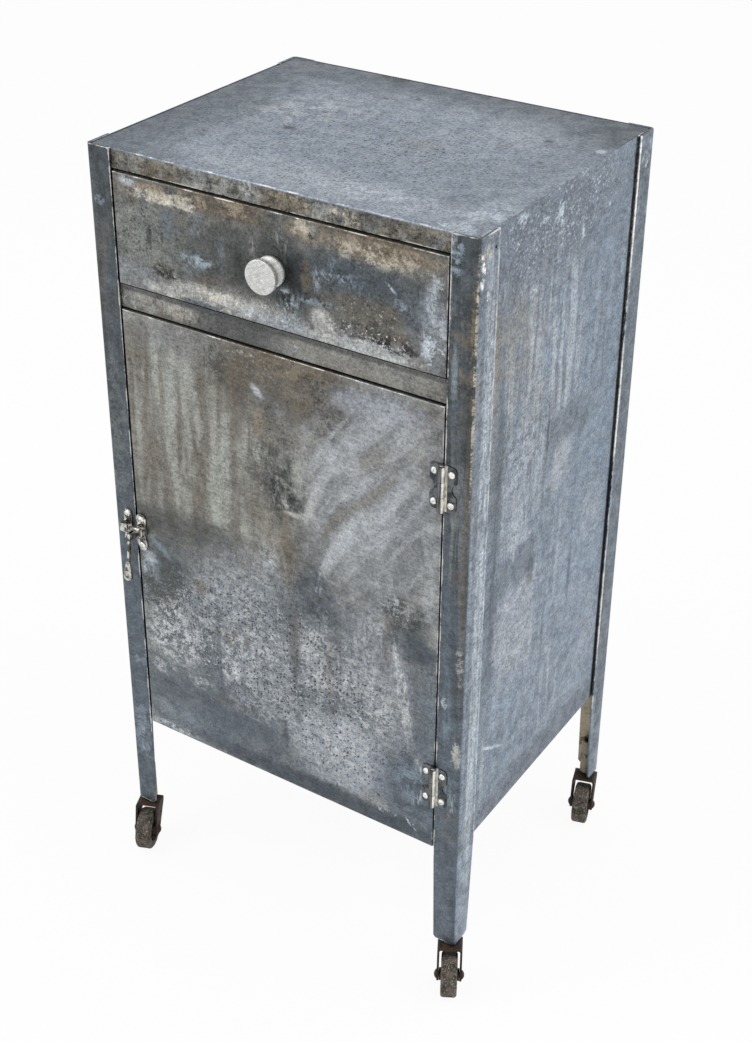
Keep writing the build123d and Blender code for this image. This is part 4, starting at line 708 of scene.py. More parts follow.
# Sides and back: blue-grey with upright streaks, a brownish front third and pale flecks near the top
post_panel = panel_of(SIDE_AXES, "post_front_right", "post_rear_right")
side_panel = Panel(*SIDE_AXES, [post_panel.low[0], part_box("side_panel_right")[0].z], post_panel.high)
SIDE_TONES = (DEEP_BLUE, HAZE_BLUE)
SIDE_WEAR = Wear(streaky=0.30, brushed=0.16, gritty=0.30, scabby=0.22, grainy=3.0)
SIDE_MARKS = (
    Mark(SIDE_BLUE, 0.5, 0.45, 0.9, 0.9, 0.35),
    Mark(SIDE_BLUE, 0.76, 0.45, 0.15, 0.6, 0.6, soft=0.5),
    Mark(LILAC_GREY, 0.68, 0.16, 0.22, 0.1, 0.55, "Cloud", soft=0.6),
    Mark(LILAC_GREY, 0.78, 0.41, 0.08, 0.05, 0.5, soft=0.7),
    Mark(SCUFF_BLUE, 0.64, 0.52, 0.2, 0.1, 0.45, "Mottle", soft=0.6),
    Mark(SLATE, 0.68, 0.6, 0.035, 0.02, 0.6, soft=0.6),
    Mark(DEEP_BLUE, 0.8, 0.75, 0.09, 0.2, 0.55, "Stroke", soft=0.6),
    Mark(BROWN_GREY, 0.24, 0.82, 0.15, 0.1, 0.7, "Mottle", soft=0.6),
    Mark(TAN, 0.115, 0.8, 0.018, 0.09, 0.7, soft=0.6),
    Mark(TAN, 0.24, 0.83, 0.1, 0.05, 0.4, "Streak", soft=0.6),
    Mark(BROWN_GREY, 0.26, 0.68, 0.17, 0.14, 0.6, "Streak", soft=0.6),
    Mark(BROWN_GREY, 0.42, 0.62, 0.1, 0.1, 0.45, "Stroke", soft=0.6),
    Mark(BROWN, 0.2, 0.84, 0.08, 0.06, 0.45, "Streak", soft=0.6),
    Mark(DARK_SLATE, 0.3, 0.94, 0.28, 0.07, 0.75, "Mottle", soft=0.5),
    Mark(DEEP_BLUE, 0.42, 0.94, 0.45, 0.08, 0.8, soft=0.6),
    Mark(PALE_HAZE, 0.42, 0.74, 0.27, 0.14, 0.75, "Streak", soft=0.5),
    Mark(PALE_HAZE, 0.3, 0.56, 0.14, 0.1, 0.65, "Streak"),
    Mark(PALE_HAZE, 0.28, 0.62, 0.11, 0.05, 0.6, "Scab"),
    Mark(DARK_SLATE, 0.165, 0.66, 0.03, 0.06, 0.75, "Scab"),
    Mark(DARK_SLATE, 0.165, 0.45, 0.024, 0.2, 0.8, "Streak"),
    Mark(SLATE, 0.15, 0.48, 0.035, 0.3, 0.55, soft=0.5),
    Mark(DEEP_BLUE, 0.575, 0.615, 0.11, 0.03, 0.8, square=0.7, soft=0.3),
    Mark(PALE_HAZE, 0.54, 0.55, 0.055, 0.035, 0.85, "Stroke", square=0.8, soft=0.25),
    Mark(LILAC_GREY, 0.54, 0.55, 0.06, 0.036, 0.7, square=0.8, soft=0.25),
    Mark(DEEP_BLUE, 0.29, 0.435, 0.1, 0.032, 0.9, square=0.7, soft=0.3),
    Mark(SCUFF_BLUE, 0.26, 0.425, 0.06, 0.022, 0.8, "Stroke", soft=0.5),
    Mark(PALE_BLUE, 0.335, 0.476, 0.045, 0.005, 0.8, "Crumb"),
    Mark(PALE_HAZE, 0.27, 0.475, 0.016, 0.02, 0.8, "Scab"),
    Mark(LILAC_GREY, 0.3, 0.32, 0.115, 0.08, 0.7, square=0.8, soft=0.3),
    Mark(PALE_HAZE, 0.3, 0.32, 0.11, 0.075, 0.6, "Crumb", square=0.8, soft=0.3),
    Mark(DARK_SLATE, 0.385, 0.41, 0.02, 0.03, 0.6, soft=0.5),
    Mark(DARK_SLATE, 0.45, 0.56, 0.014, 0.11, 0.75, "Stroke"),
    Mark(DARK_SLATE, 0.49, 0.32, 0.01, 0.1, 0.65, "Streak"),
    Mark(DARK_SLATE, 0.65, 0.35, 0.01, 0.08, 0.55, "Streak"),
    Mark(DARK_SLATE, 0.78, 0.66, 0.006, 0.08, 0.55, "Streak", lean=-3.0),
    Mark(PALE_HAZE, 0.405, 0.2, 0.022, 0.14, 0.65, "Streak"),
    Mark(PALE_HAZE, 0.53, 0.15, 0.03, 0.11, 0.65, "Streak"),
    Mark(PALE_HAZE, 0.54, 0.4, 0.04, 0.08, 0.55, "Streak"),
    Mark(PALE_HAZE, 0.615, 0.13, 0.012, 0.07, 0.5, "Streak"),
    Mark(PALE_HAZE, 0.14, 0.12, 0.014, 0.08, 0.6, "Streak"),
    Mark(DEEP_BLUE, 0.5, 0.018, 0.6, 0.032, 0.95, soft=0.5),
    Mark(PALE_BLUE, 0.35, 0.965, 0.022, 0.004, 0.9, "Crumb"),
    Mark(PALE_BLUE, 0.44, 0.955, 0.03, 0.016, 0.7, "Scab"),
    Mark(PALE_BLUE, 0.48, 0.932, 0.05, 0.004, 0.9, "Crumb"),
    Mark(PALE_BLUE, 0.59, 0.915, 0.012, 0.028, 0.75, "Scab"),
    Mark(PALE_BLUE, 0.3, 0.945, 0.006, 0.02, 0.85, "Wisp"),
    Mark(PALE_BLUE, 0.22, 0.985, 0.05, 0.01, 0.7, "Scab"),
    Mark(PALE_BLUE, 0.46, 0.96, 0.32, 0.05, 0.8, "Speck"),
    Mark(PALE_BLUE, 0.74, 0.925, 0.022, 0.004, 0.8, "Crumb"),
    Mark(PALE_BLUE, 0.31, 0.872, 0.03, 0.007, 0.8, "Crumb"),
    Mark(PALE_BLUE, 0.4, 0.9, 0.25, 0.06, 0.45, "Speck"),
    Mark(PALE_BLUE, 0.15, 0.9, 0.04, 0.02, 0.35, "Wisp", soft=0.6),
    Mark(PALE_BLUE, 0.2, 0.135, 0.075, 0.003, 0.75, lean=29.0),
)
SIDE_POST_MARKS = (
    Mark(PALE_HAZE, 0.05, 0.45, 0.034, 0.6, 0.45),
    Mark(PALE_BLUE, 0.055, 0.45, 0.028, 0.6, 0.9, "Streak"),
    Mark(DARK_SLATE, 0.06, 0.6, 0.034, 0.4, 0.6, "Wisp"),
    Mark(SLATE, 0.028, 0.45, 0.012, 0.6, 0.65, "Stroke"),
    Mark(CREAM, 0.078, 0.9, 0.008, 0.05, 0.6, "Stroke"),
    Mark(CREAM, 0.03, 0.975, 0.028, 0.012, 0.8, "Crumb"),
    Mark(CREAM, 0.003, 0.82, 0.005, 0.16, 0.8, "Stroke"),
    Mark(TAN, 0.016, 0.72, 0.01, 0.16, 0.55, "Streak"),
    Mark(BRIGHT_EDGE, 0.014, 0.955, 0.012, 0.025, 0.95, "Scab"),
    Mark(BRIGHT_EDGE, 0.045, 0.915, 0.01, 0.008, 0.8, "Crumb"),
    Mark(DARK_SLATE, 0.03, 0.99, 0.05, 0.012, 0.6, "Scab"),
    # A painted shade line in the seam along the front post
    Mark(DARK_SLATE, 0.0985, 0.45, 0.003, 0.6, 0.8, square=1.0),
    Mark(PALE_BLUE, 0.09, 0.45, 0.003, 0.6, 0.7, "Streak", square=1.0),
    Mark(SLATE, 0.955, 0.45, 0.042, 0.6, 0.8, soft=0.2),
    Mark(DARK_SLATE, 0.955, 0.93, 0.045, 0.05, 0.7, "Scab"),
    Mark(PALE_BLUE, 0.95, 0.96, 0.025, 0.012, 0.8, "Crumb"),
    # A painted shadow in the gap beside the rear post's flange
    Mark(SOOT_AND_SHADE_BLACK, 0.899, 0.45, 0.007, 0.6, 0.95, square=1.0, soft=0.2),
    Mark(BRIGHT_EDGE, 0.9085, 0.9, 0.0038, 0.12, 0.95, square=1.0),
    Mark(BRIGHT_EDGE, 0.9085, 0.57, 0.0038, 0.09, 0.95, square=1.0),
    Mark(BRIGHT_EDGE, 0.9085, 0.2, 0.0034, 0.22, 0.8, "Stroke", square=1.0),
    Mark(DARK_SLATE, 0.918, 0.6, 0.004, 0.5, 0.75, "Stroke", square=1.0),
)


def side_coat(tree):
    """The coat of the cabinet's sides."""
    return steel_coat(tree, side_panel, SIDE_TONES, SIDE_MARKS + SIDE_POST_MARKS, SIDE_WEAR)


side_steel = steel("side_steel", side_coat)
rear_panel = panel_of(FRONT_AXES, "back_panel")
back_steel = steel(
    "back_steel",
    lambda tree: steel_coat(tree, rear_panel, SIDE_TONES, SIDE_MARKS, SIDE_WEAR))

# Top: pitted blue-grey, paler in the middle; its front fold is brown and tan
top_panel = panel_of(TOP_AXES, "top_panel")
TOP_MARKS = (
    Mark(BLUE_GREY, 0.5, 0.45, 0.7, 0.7, 0.7, soft=0.5),
    Mark(PALE_LILAC, 0.19, 0.52, 0.07, 0.1, 0.5, "Mottle", soft=0.7),
    Mark(PALE_LILAC, 0.29, 0.62, 0.09, 0.11, 0.45, "Mottle", soft=0.7),
    Mark(LILAC_GREY, 0.58, 0.1, 0.36, 0.08, 0.65, soft=0.6),
    Mark(LILAC_GREY, 0.78, 0.74, 0.09, 0.12, 0.5, soft=0.7),
    Mark(DARK_SLATE, 0.0, 0.5, 0.11, 0.8, 0.85, soft=0.9),
    Mark(SLATE, 0.07, 0.4, 0.11, 0.5, 0.65, soft=0.8),
    Mark(DARK_SLATE, 0.55, 1.0, 0.6, 0.13, 0.75, soft=0.9),
    Mark(SLATE, 0.15, 0.92, 0.2, 0.12, 0.6, soft=0.8),
    Mark(DARK_SLATE, 0.97, 0.92, 0.11, 0.16, 0.8, soft=0.9),
    Mark(GREEN_BLACK, 0.31, 0.985, 0.05, 0.03, 0.7, soft=0.6),
    Mark(SLATE, 0.1, 0.02, 0.14, 0.06, 0.6, soft=0.8),
    Mark(DEEP_BLUE, 0.86, 0.185, 0.026, 0.042, 0.45, square=0.8, soft=0.4),
    Mark(SLATE, 0.928, 0.25, 0.022, 0.036, 0.4, square=0.8, soft=0.4),
    Mark(DEEP_BLUE, 0.93, 0.58, 0.05, 0.16, 0.35, soft=0.7),
    Mark(WARM_GREY, 0.63, 0.5, 0.05, 0.04, 0.4, soft=0.7),
    Mark(SOOT_AND_SHADE_BLACK, 0.312, 0.415, 0.016, 0.014, 0.75, soft=0.7),
    Mark(DARK_SLATE, 0.38, 0.8, 0.01, 0.01, 0.8, soft=0.6),
    Mark(DARK_SLATE, 0.45, 0.85, 0.01, 0.01, 0.8, soft=0.6),
    Mark(DARK_SLATE, 0.9, 0.56, 0.009, 0.01, 0.8, soft=0.6),
    Mark(DARK_SLATE, 0.85, 0.73, 0.009, 0.01, 0.8, soft=0.6),
    Mark(SOOT_AND_SHADE_BLACK, 0.45, 0.32, 0.45, 0.3, 0.75, "Pit", soft=0.6),
    Mark(SOOT_AND_SHADE_BLACK, 0.62, 0.62, 0.36, 0.28, 0.6, "Pit", soft=0.6),
    Mark(PALE_BLUE, 0.955, 0.12, 0.035, 0.12, 0.6, "Scab", soft=0.6),
    Mark(PALE_BLUE, 0.91, 0.035, 0.02, 0.02, 0.85, "Crumb"),
    Mark(PALE_BLUE, 0.978, 0.735, 0.01, 0.016, 0.8, soft=0.5),
    Mark(PALE_BLUE, 0.71, 0.11, 0.12, 0.05, 0.45, "Scab", soft=0.6),
)
fold_panel = panel_of(FRONT_AXES, "top_panel")
FOLD_MARKS = (
    Mark(GUNMETAL, 0.5, 0.5, 0.6, 0.9, 0.3),
    Mark(BROWN, 0.09, 0.5, 0.04, 0.8, 0.85, "Mottle"),
    Mark(TAN, 0.18, 0.5, 0.06, 0.8, 0.8, "Crumb"),
    Mark(BROWN, 0.2, 0.5, 0.06, 0.8, 0.6),
    Mark(BROWN, 0.36, 0.5, 0.05, 0.7, 0.8, "Mottle"),
    Mark(BROWN, 0.53, 0.45, 0.07, 0.7, 0.75),
    Mark(TAN, 0.55, 0.45, 0.06, 0.5, 0.6, "Crumb"),
    Mark(TAN, 0.68, 0.4, 0.05, 0.45, 0.9, "Crumb"),
    Mark(CREAM, 0.68, 0.35, 0.05, 0.35, 0.6, "Crumb"),
    Mark(BROWN, 0.84, 0.5, 0.13, 0.8, 0.75, "Mottle"),
    Mark(PALE_GREY, 0.44, 0.7, 0.05, 0.3, 0.5, "Mottle"),
    Mark(SLATE, 0.02, 0.5, 0.03, 0.8, 0.9),
)
FOLD_DEPTH = 3.0 * MM
TOP_WEAR = Wear(streaky=0.15, brushed=0.0, gritty=0.22, scabby=0.08, grainy=3.2)
FOLD_WEAR = Wear(streaky=0.0, brushed=0.10, gritty=0.60, scabby=0.60, grainy=3.0)


def top_coat(tree):
    """The coat of the top, with another one on its folded edges."""
    flat = steel_coat(tree, top_panel, (DEEP_BLUE, LILAC_GREY), TOP_MARKS, TOP_WEAR)
    fold = steel_coat(tree, fold_panel, (GUNMETAL, PALE_GREY), FOLD_MARKS, FOLD_WEAR)
    height = split(tree, object_place(tree))[2]
    top_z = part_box("top_panel")[1].z
    lower = soft_step(tree, height, top_z - FOLD_DEPTH, top_z - FOLD_DEPTH / 2, 1.0, 0.0)
    flat["colour"] = tint(tree, lower, flat["colour"], fold["colour"])
    return flat


top_steel = steel("top_steel", top_coat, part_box("top_panel"), 1.2 * MM)

# Posts: dark in front and blue-grey like the panels on the sides, partly painted shade and light for how the
# light falls; bright along the bends, worn and partly painted highlight; old paint inside
front_panel = panel_of(FRONT_AXES, "post_front_left", "post_front_right")
POST_MARKS = (
    Mark(SLATE, 0.967, 0.62, 0.05, 0.22, 0.8, "Stroke", soft=0.5),
    Mark(COOL_GREY, 0.967, 0.6, 0.05, 0.14, 0.45, "Streak", soft=0.5),
    Mark(SLATE, 0.967, 0.25, 0.05, 0.3, 0.85, soft=0.5),
    Mark(OLIVE_GREY, 0.95, 0.64, 0.02, 0.12, 0.5, "Streak", soft=0.6),
    Mark(GREEN_BLACK, 0.982, 0.7, 0.02, 0.3, 0.85, "Stroke", soft=0.6),
    Mark(BROWN, 0.988, 0.66, 0.008, 0.26, 0.55, "Streak", soft=0.6),
    Mark(BROWN, 0.97, 0.86, 0.035, 0.08, 0.7, "Scab"),
    Mark(TAN, 0.992, 0.88, 0.008, 0.08, 0.6, "Crumb"),
    Mark(CREAM, 0.995, 0.83, 0.0028, 0.14, 0.9, "Crumb"),
    Mark(GREEN_BLACK, 0.96, 0.8, 0.03, 0.08, 0.6, "Stroke"),
    Mark(SCUFF_BLUE, 0.945, 0.975, 0.016, 0.025, 0.9, "Scab"),
    Mark(PALE_BLUE, 0.942, 0.985, 0.01, 0.012, 0.7, "Wisp"),
    Mark(SCUFF_BLUE, 0.948, 0.87, 0.016, 0.06, 0.75, "Streak"),
    Mark(BROWN, 0.975, 0.57, 0.012, 0.03, 0.55, "Scab"),
    Mark(PALE_GREY, 0.985, 0.318, 0.012, 0.024, 0.95, "Scab"),
    Mark(PALE_GREY, 0.988, 0.315, 0.007, 0.018, 0.8, soft=0.4),
    Mark(PALE_GREY, 0.985, 0.46, 0.01, 0.018, 0.75, "Scab"),
    Mark(PALE_GREY, 0.988, 0.43, 0.006, 0.008, 0.75, "Crumb"),
    Mark(PALE_BLUE, 0.972, 0.25, 0.016, 0.03, 0.6, "Wisp"),
    Mark(PALE_BLUE, 0.95, 0.39, 0.008, 0.008, 0.7, "Crumb"),
    Mark(DEEP_BLUE, 0.967, 0.1, 0.04, 0.1, 0.6, "Stroke", soft=0.6),
    Mark(SCUFF_BLUE, 0.955, 0.38, 0.012, 0.05, 0.6, "Streak", soft=0.6),
    Mark(BROWN, 0.975, 0.2, 0.02, 0.03, 0.4, "Scab"),
    Mark(SLATE, 0.03, 0.62, 0.04, 0.12, 0.65, soft=0.6),
    Mark(GREEN_BLACK, 0.03, 0.78, 0.05, 0.22, 0.55, "Stroke", soft=0.6),
    Mark(BROWN, 0.04, 0.85, 0.03, 0.12, 0.4, "Streak", soft=0.6),
    Mark(OLIVE_GREY, 0.03, 0.62, 0.03, 0.1, 0.35, "Scab"),
    Mark(BLUE_GREY, 0.03, 0.932, 0.014, 0.006, 0.7, "Scab"),
    Mark(SLATE, 0.035, 0.2, 0.045, 0.16, 0.85, soft=0.5),
    Mark(BLUE_GREY, 0.045, 0.26, 0.02, 0.015, 0.7, "Scab"),
    Mark(BLUE_GREY, 0.035, 0.13, 0.03, 0.05, 0.55, "Scab"),
    Mark(PALE_BLUE, 0.04, 0.115, 0.018, 0.02, 0.6, "Wisp"),
)
POST_WEAR = Wear(streaky=0.30, brushed=0.06, gritty=0.30, scabby=0.18, grainy=2.2)
SIDE_FROM = 2.0 * MM
SIDE_TO = 0.6 * MM
INSIDE_FROM = 2.5 * MM
INSIDE_TO = 2.9 * MM


def paint_remains(tree):
    """Old beige paint with rust through it."""
    place = object_place(tree)
    stains = soft_step(tree, noise(tree, place, 60.0, 8.0, 0.75), 0.50, 0.62)
    colour = tint(tree, noise(tree, place, 300.0, 5.0, 0.7), PAINT_SHADE, OLD_PAINT)
    return tint(tree, stains, colour, PAINT_STAIN)


def post_coat(tree):
    """The coat of the posts: a darker one for the front flanges and a lighter one for the side flanges,
    partly painted shade and light, and old paint inside.
    """
    front = steel_coat(tree, front_panel, (GREEN_BLACK, SLATE), POST_MARKS, POST_WEAR)
    side = side_coat(tree)
    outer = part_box("post_rear_right")[1]
    place = mirrored_place(tree, object_place(tree))
    from_side, from_front, _ = split(tree, vector_maths(tree, "SUBTRACT", tuple(outer), place))
    # Front flanges take the darker coat and side flanges the lighter one, partly painted shade and light
    on_side = soft_step(tree, from_side, SIDE_TO, SIDE_FROM, 1.0, 0.0)
    colour = tint(tree, on_side, front["colour"], side["colour"])
    inside = soft_step(tree, maths(tree, "MINIMUM", from_side, from_front), INSIDE_FROM, INSIDE_TO)
    front["colour"] = tint(tree, inside, colour, paint_remains(tree))
    return front


worn_steel = steel("worn_steel", post_coat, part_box("post_rear_right"), 1.3 * MM, mirrored=True)

# Middle rail and hidden sheets
rail_panel = panel_of(FRONT_AXES, "middle_rail")
RAIL_MARKS = (
    # Dark left end: painted shade in the recess beside the post
    Mark(GUNMETAL, 0.02, 0.5, 0.04, 0.9, 0.9),
    Mark(PALE_GREY, 0.1, 0.45, 0.05, 0.4, 0.6, "Crumb"),
    Mark(TAN, 0.17, 0.5, 0.08, 0.5, 0.6, "Crumb"),
    Mark(CREAM, 0.24, 0.45, 0.05, 0.35, 0.5, "Crumb"),
    Mark(GUNMETAL, 0.43, 0.5, 0.12, 0.9, 0.8, soft=0.7),
    Mark(PALE_GREY, 0.73, 0.45, 0.18, 0.5, 0.6, "Mottle", soft=0.5),
    Mark(WARM_GREY, 0.75, 0.5, 0.22, 0.8, 0.7, soft=0.5),
    Mark(PALE_GREY, 0.7, 0.4, 0.24, 0.6, 0.45, "Cloud", soft=0.6),
    Mark(BROWN, 0.72, 0.45, 0.26, 0.6, 0.35, "Mottle", soft=0.6),
    Mark(PALE_GREY, 0.15, 0.45, 0.12, 0.5, 0.35, "Mottle", soft=0.6),
    Mark(PALE_BLUE, 0.55, 0.4, 0.012, 0.16, 0.9, "Wisp"),
    # Dark band along the top: painted shade under the drawer
    Mark(GUNMETAL, 0.5, 0.9, 0.6, 0.12, 0.8, soft=0.5),
    Mark(GUNMETAL, 0.97, 0.5, 0.03, 0.9, 0.85),
)
RAIL_WEAR = Wear(streaky=0.10, brushed=0.08, gritty=0.30, scabby=0.16, grainy=2.6)
INNER_WEAR = Wear(streaky=0.20, brushed=0.10, gritty=0.45, scabby=0.30, grainy=1.8)
rail_steel = steel(
    "rail_steel",
    lambda tree: steel_coat(tree, rail_panel, (GUNMETAL, WARM_GREY), RAIL_MARKS, RAIL_WEAR))
inner_steel = steel(
    "inner_steel",
    lambda tree: steel_coat(tree, door_panel, (SLATE, LILAC_GREY), (), INNER_WEAR))


# Hardware finishes
front_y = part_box("door_skin")[0].y
hinge_axis = Vector(joints["door_hinge"]["pos_m"])


def worn_and_highlit_rims(tree, radius):
    """1 along the convex edges of small hardware, where the plating is rubbed bright and a highlight is
    painted along them.
    """
    rounded = add(tree, "Bevel", {"Radius": radius}, samples=4).outputs["Normal"]
    flat = add(tree, "NewGeometry").outputs["Normal"]
    turn = add(tree, "VectorMath", {0: rounded, 1: flat}, operation="DOT_PRODUCT").outputs["Value"]
    return soft_step(tree, turn, 0.80, 0.985, 1.0, 0.0)


def nickel_plate(name, dull, bright, grime_scale, reach):
    """Worn nickel: grimy between two tones, with painted shade black in its corners, and rubbed white along
    its rims, partly a painted highlight.
    """
    material, tree, shader = new_material(name)
    place = object_place(tree)
    grime = soft_step(tree, noise(tree, place, grime_scale, 5.0, 0.6), 0.42, 0.58)
    worn = noise(tree, place, 900.0, 4.0, 0.6)
    colour = tint(tree, grime, bright, dull)
    colour = crevice_shade(tree, colour, reach)
    colour = tint(tree, maths(tree, "MULTIPLY", worn_and_highlit_rims(tree, 0.7 * MM), 0.9), colour, RUBBED_AND_HIGHLIGHT_WHITE)
    fill(tree, shader, {
        "Base Color": colour, "Roughness": soft_step(tree, grime, 0.0, 1.0, 0.22, 0.45), "Metallic": 1.0,
        "Normal": bumpy_normal(tree, worn, 0.2, 0.3 * MM)})
    return material


def hinge_plate():
    """Dark nickel on the leaves, as dark as the steel, with a streaked barrel that carries a painted white
    reflection on its right.
    """
    material, tree, shader = new_material("hinge_nickel")
    place = object_place(tree)
    x, y, _ = split(tree, place)
    across = maths(tree, "SUBTRACT", x, hinge_axis.x)
    stands_out = soft_step(tree, maths(tree, "SUBTRACT", front_y, y), 1.6 * MM, 2.4 * MM)
    clouds = soft_step(tree, noise(tree, place, 130.0, 4.0, 0.6), 0.40, 0.60)
    streaks = soft_step(tree, noise(tree, place, (900.0, 900.0, 40.0), 4.0, 0.6), 0.40, 0.60)
    leaf = tint(tree, clouds, LEAF_DARK, LEAF_PALE)
    barrel = tint(tree, streaks, BARREL_DARK, BARREL_PALE)
    colour = crevice_shade(tree, tint(tree, stands_out, leaf, barrel), 3.0 * MM)
    # Painted reflection: a white band down the barrel's right side and the web beside it
    painted_reflection_strip = maths(tree, "MULTIPLY", soft_step(tree, across, 1.7 * MM, 2.3 * MM),
                  soft_step(tree, across, 4.6 * MM, 5.4 * MM, 1.0, 0.0))
    painted_reflection_strip = maths(tree, "MULTIPLY", painted_reflection_strip, soft_step(tree, clouds, 0.0, 1.0, 0.95, 0.65))
    colour = tint(tree, painted_reflection_strip, colour, RUBBED_AND_HIGHLIGHT_WHITE)
    colour = tint(tree, maths(tree, "MULTIPLY", worn_and_highlit_rims(tree, 0.5 * MM), 0.3), colour, RUBBED_AND_HIGHLIGHT_WHITE)
    fill(tree, shader, {"Base Color": colour, "Roughness": 0.38, "Metallic": 0.9})
    return material


def sanded_aluminium():
    """Near-white sanded aluminium with fine scratches both ways."""
    material, tree, shader = new_material("knob_aluminium")
    place = object_place(tree)
    scratches = 0.0
    for lean in (35.0, -50.0):
        turned = turned_about(tree, place, math.radians(lean), "Y_AXIS")
        fine = noise(tree, turned, (120.0, 120.0, 2200.0), 3.0, 0.6)
        scratches = maths(tree, "ADD", fine, scratches)
    colour = tint(tree, soft_step(tree, scratches, 0.80, 1.20), SCRATCH_GREY, SANDED_WHITE)
    fill(tree, shader, {
        "Base Color": crevice_shade(tree, colour), "Roughness": 0.48, "Metallic": 0.7,
        "Normal": bumpy_normal(tree, scratches, 0.5, 0.3 * MM)})
    return material


def rusty_iron():
    """Near-black steel with rust in patches and crumbs."""
    material, tree, shader = new_material("rusty_steel")
    place = object_place(tree)
    patches = soft_step(tree, noise(tree, place, 90.0, 6.0, 0.65), 0.42, 0.62)
    flakes = noise(tree, place, 480.0, 6.0, 0.75)
    colour = tint(tree, patches, IRON_BLACK, IRON_BROWN)
    colour = tint(tree, soft_step(tree, flakes, 0.50, 0.62), colour, RUST)
    colour = tint(tree, soft_step(tree, flakes, 0.62, 0.72), colour, RUST_CRUMB)
    fill(tree, shader, {
        "Base Color": crevice_shade(tree, colour), "Roughness": soft_step(tree, patches, 0.0, 1.0, 0.55, 0.85),
        "Metallic": 0.35, "Normal": bumpy_normal(tree, flakes, 0.7, 0.6 * MM)})
    return material


def worn_tread():
    """Old hard wheel tread, stony and chipped, stained with rust."""
    material, tree, shader = new_material("wheel_rubber")
    place = object_place(tree)
    stains = soft_step(tree, noise(tree, place, 110.0, 7.0, 0.75), 0.40, 0.62)
    chips = noise(tree, place, 420.0, 6.0, 0.78)
    rusty = soft_step(tree, noise(tree, place, 160.0, 5.0, 0.7), 0.55, 0.68)
    colour = tint(tree, stains, TREAD_DARK, TREAD_GREY)
    colour = tint(tree, rusty, colour, TREAD_STAIN)
    colour = tint(tree, soft_step(tree, chips, 0.56, 0.62), colour, TREAD_CHIP)
    fill(tree, shader, {
        "Base Color": crevice_shade(tree, colour), "Roughness": 0.85,
        "Normal": bumpy_normal(tree, chips, 0.8, 0.8 * MM)})
    return material


def painted_socket():
    """Old beige paint on the caster sockets."""
    material, tree, shader = new_material("old_paint")
    fill(tree, shader, {"Base Color": crevice_shade(tree, paint_remains(tree)), "Roughness": 0.7})
    return material


plain_nickel = nickel_plate("nickel", (0.085, 0.082, 0.074), (0.640, 0.628, 0.585), 130.0, 5.0 * MM)
bright_nickel = nickel_plate("bright_nickel", (0.760, 0.755, 0.725), (0.960, 0.955, 0.935), 240.0, 0.9 * MM)
dark_nickel = nickel_plate("dark_nickel", (0.060, 0.060, 0.058), (0.300, 0.300, 0.290), 240.0, 3.0 * MM)
hinge_nickel = hinge_plate()
knob_aluminium = sanded_aluminium()
rusty_steel = rusty_iron()
wheel_rubber = worn_tread()
old_paint = painted_socket()

# Finish of every node
finishes = {name: worn_steel for name in nodes}
for name in nodes:
    if name.startswith(("hinge_", "latch_", "strike_")):
        finishes[name] = plain_nickel
    elif name.startswith(("caster_fork", "caster_stem", "caster_axle", "wheel_hub", "knob_screw")):
        finishes[name] = rusty_steel
    elif name.startswith("wheel_tread"):
        finishes[name] = wheel_rubber
    elif name.startswith("caster_socket"):
        finishes[name] = old_paint
    elif name.startswith(("drawer_", "door_liner", "shelf", "cabinet_floor")):
        finishes[name] = inner_steel
finishes.update({
    "drawer_front": drawer_front_steel, "door_skin": door_steel, "top_panel": top_steel,
    "middle_rail": rail_steel, "side_panel_left": side_steel, "side_panel_right": side_steel,
    "back_panel": back_steel, "drawer_knob": knob_aluminium, "hinge_pins": dark_nickel,
    "hinge_post_screws": bright_nickel, "hinge_door_screws": bright_nickel,
    "latch_screws": bright_nickel, "strike_screws": bright_nickel,
})
for name, finish in finishes.items():
    for slot in nodes[name].material_slots:
        slot.material = finish


# Modelling helpers: shapes are drawn in millimetres about the origin, and scaled as they are put in place
DOUBLED_WITHIN = 0.002
ON_SPOT = 0.01


def take(*pieces):
    """Selects some pieces and nothing else, with the first one in hand."""
    bpy.ops.object.select_all(action="DESELECT")
    for piece in pieces:
        piece.select_set(True)
    bpy.context.view_layer.objects.active = pieces[0]


def begin(add_primitive, **size):
    """Adds a primitive with nothing else selected, and opens it for editing."""
    bpy.ops.object.select_all(action="DESELECT")
    add_primitive(**size)
    bpy.ops.object.mode_set(mode="EDIT")
    bpy.ops.mesh.select_mode(type="VERT")


def pick(kind, test):
    """Selects the vertices, edges or faces whose middle passes a test."""
    bpy.ops.mesh.select_mode(type=kind)
    bpy.ops.mesh.select_all(action="DESELECT")
    data = bpy.context.edit_object.data
    mesh = bmesh.from_edit_mesh(data)
    for item in {"VERT": mesh.verts, "EDGE": mesh.edges, "FACE": mesh.faces}[kind]:
        ends = [item] if kind == "VERT" else item.verts
        middle = sum((end.co for end in ends), Vector()) / len(ends)
        if test(middle):
            item.select_set(True)
    mesh.select_flush_mode()
    bmesh.update_edit_mesh(data)


def near(*spots):
    """A test for the places that lie on one of some spots."""
    return lambda middle: any((middle - Vector(spot)).length < ON_SPOT for spot in spots)


def arc(centre, radius, start, end, steps):
    """Points along an arc in a plane, from one angle to another in degrees."""
    turns = [math.radians(start + (end - start) * step / steps) for step in range(steps + 1)]
    return [(centre[0] + radius * math.cos(turn), centre[1] + radius * math.sin(turn)) for turn in turns]


def draw_line(points):
    """Draws edges from point to point, by extruding one corner on and on."""
    begin(bpy.ops.mesh.primitive_plane_add, size=1.0)
    bpy.ops.mesh.merge(type="CENTER")
    bpy.ops.transform.translate(value=points[0])
    for last, point in zip(points, points[1:]):
        bpy.ops.mesh.extrude_vertices_move(TRANSFORM_OT_translate={"value": Vector(point) - Vector(last)})


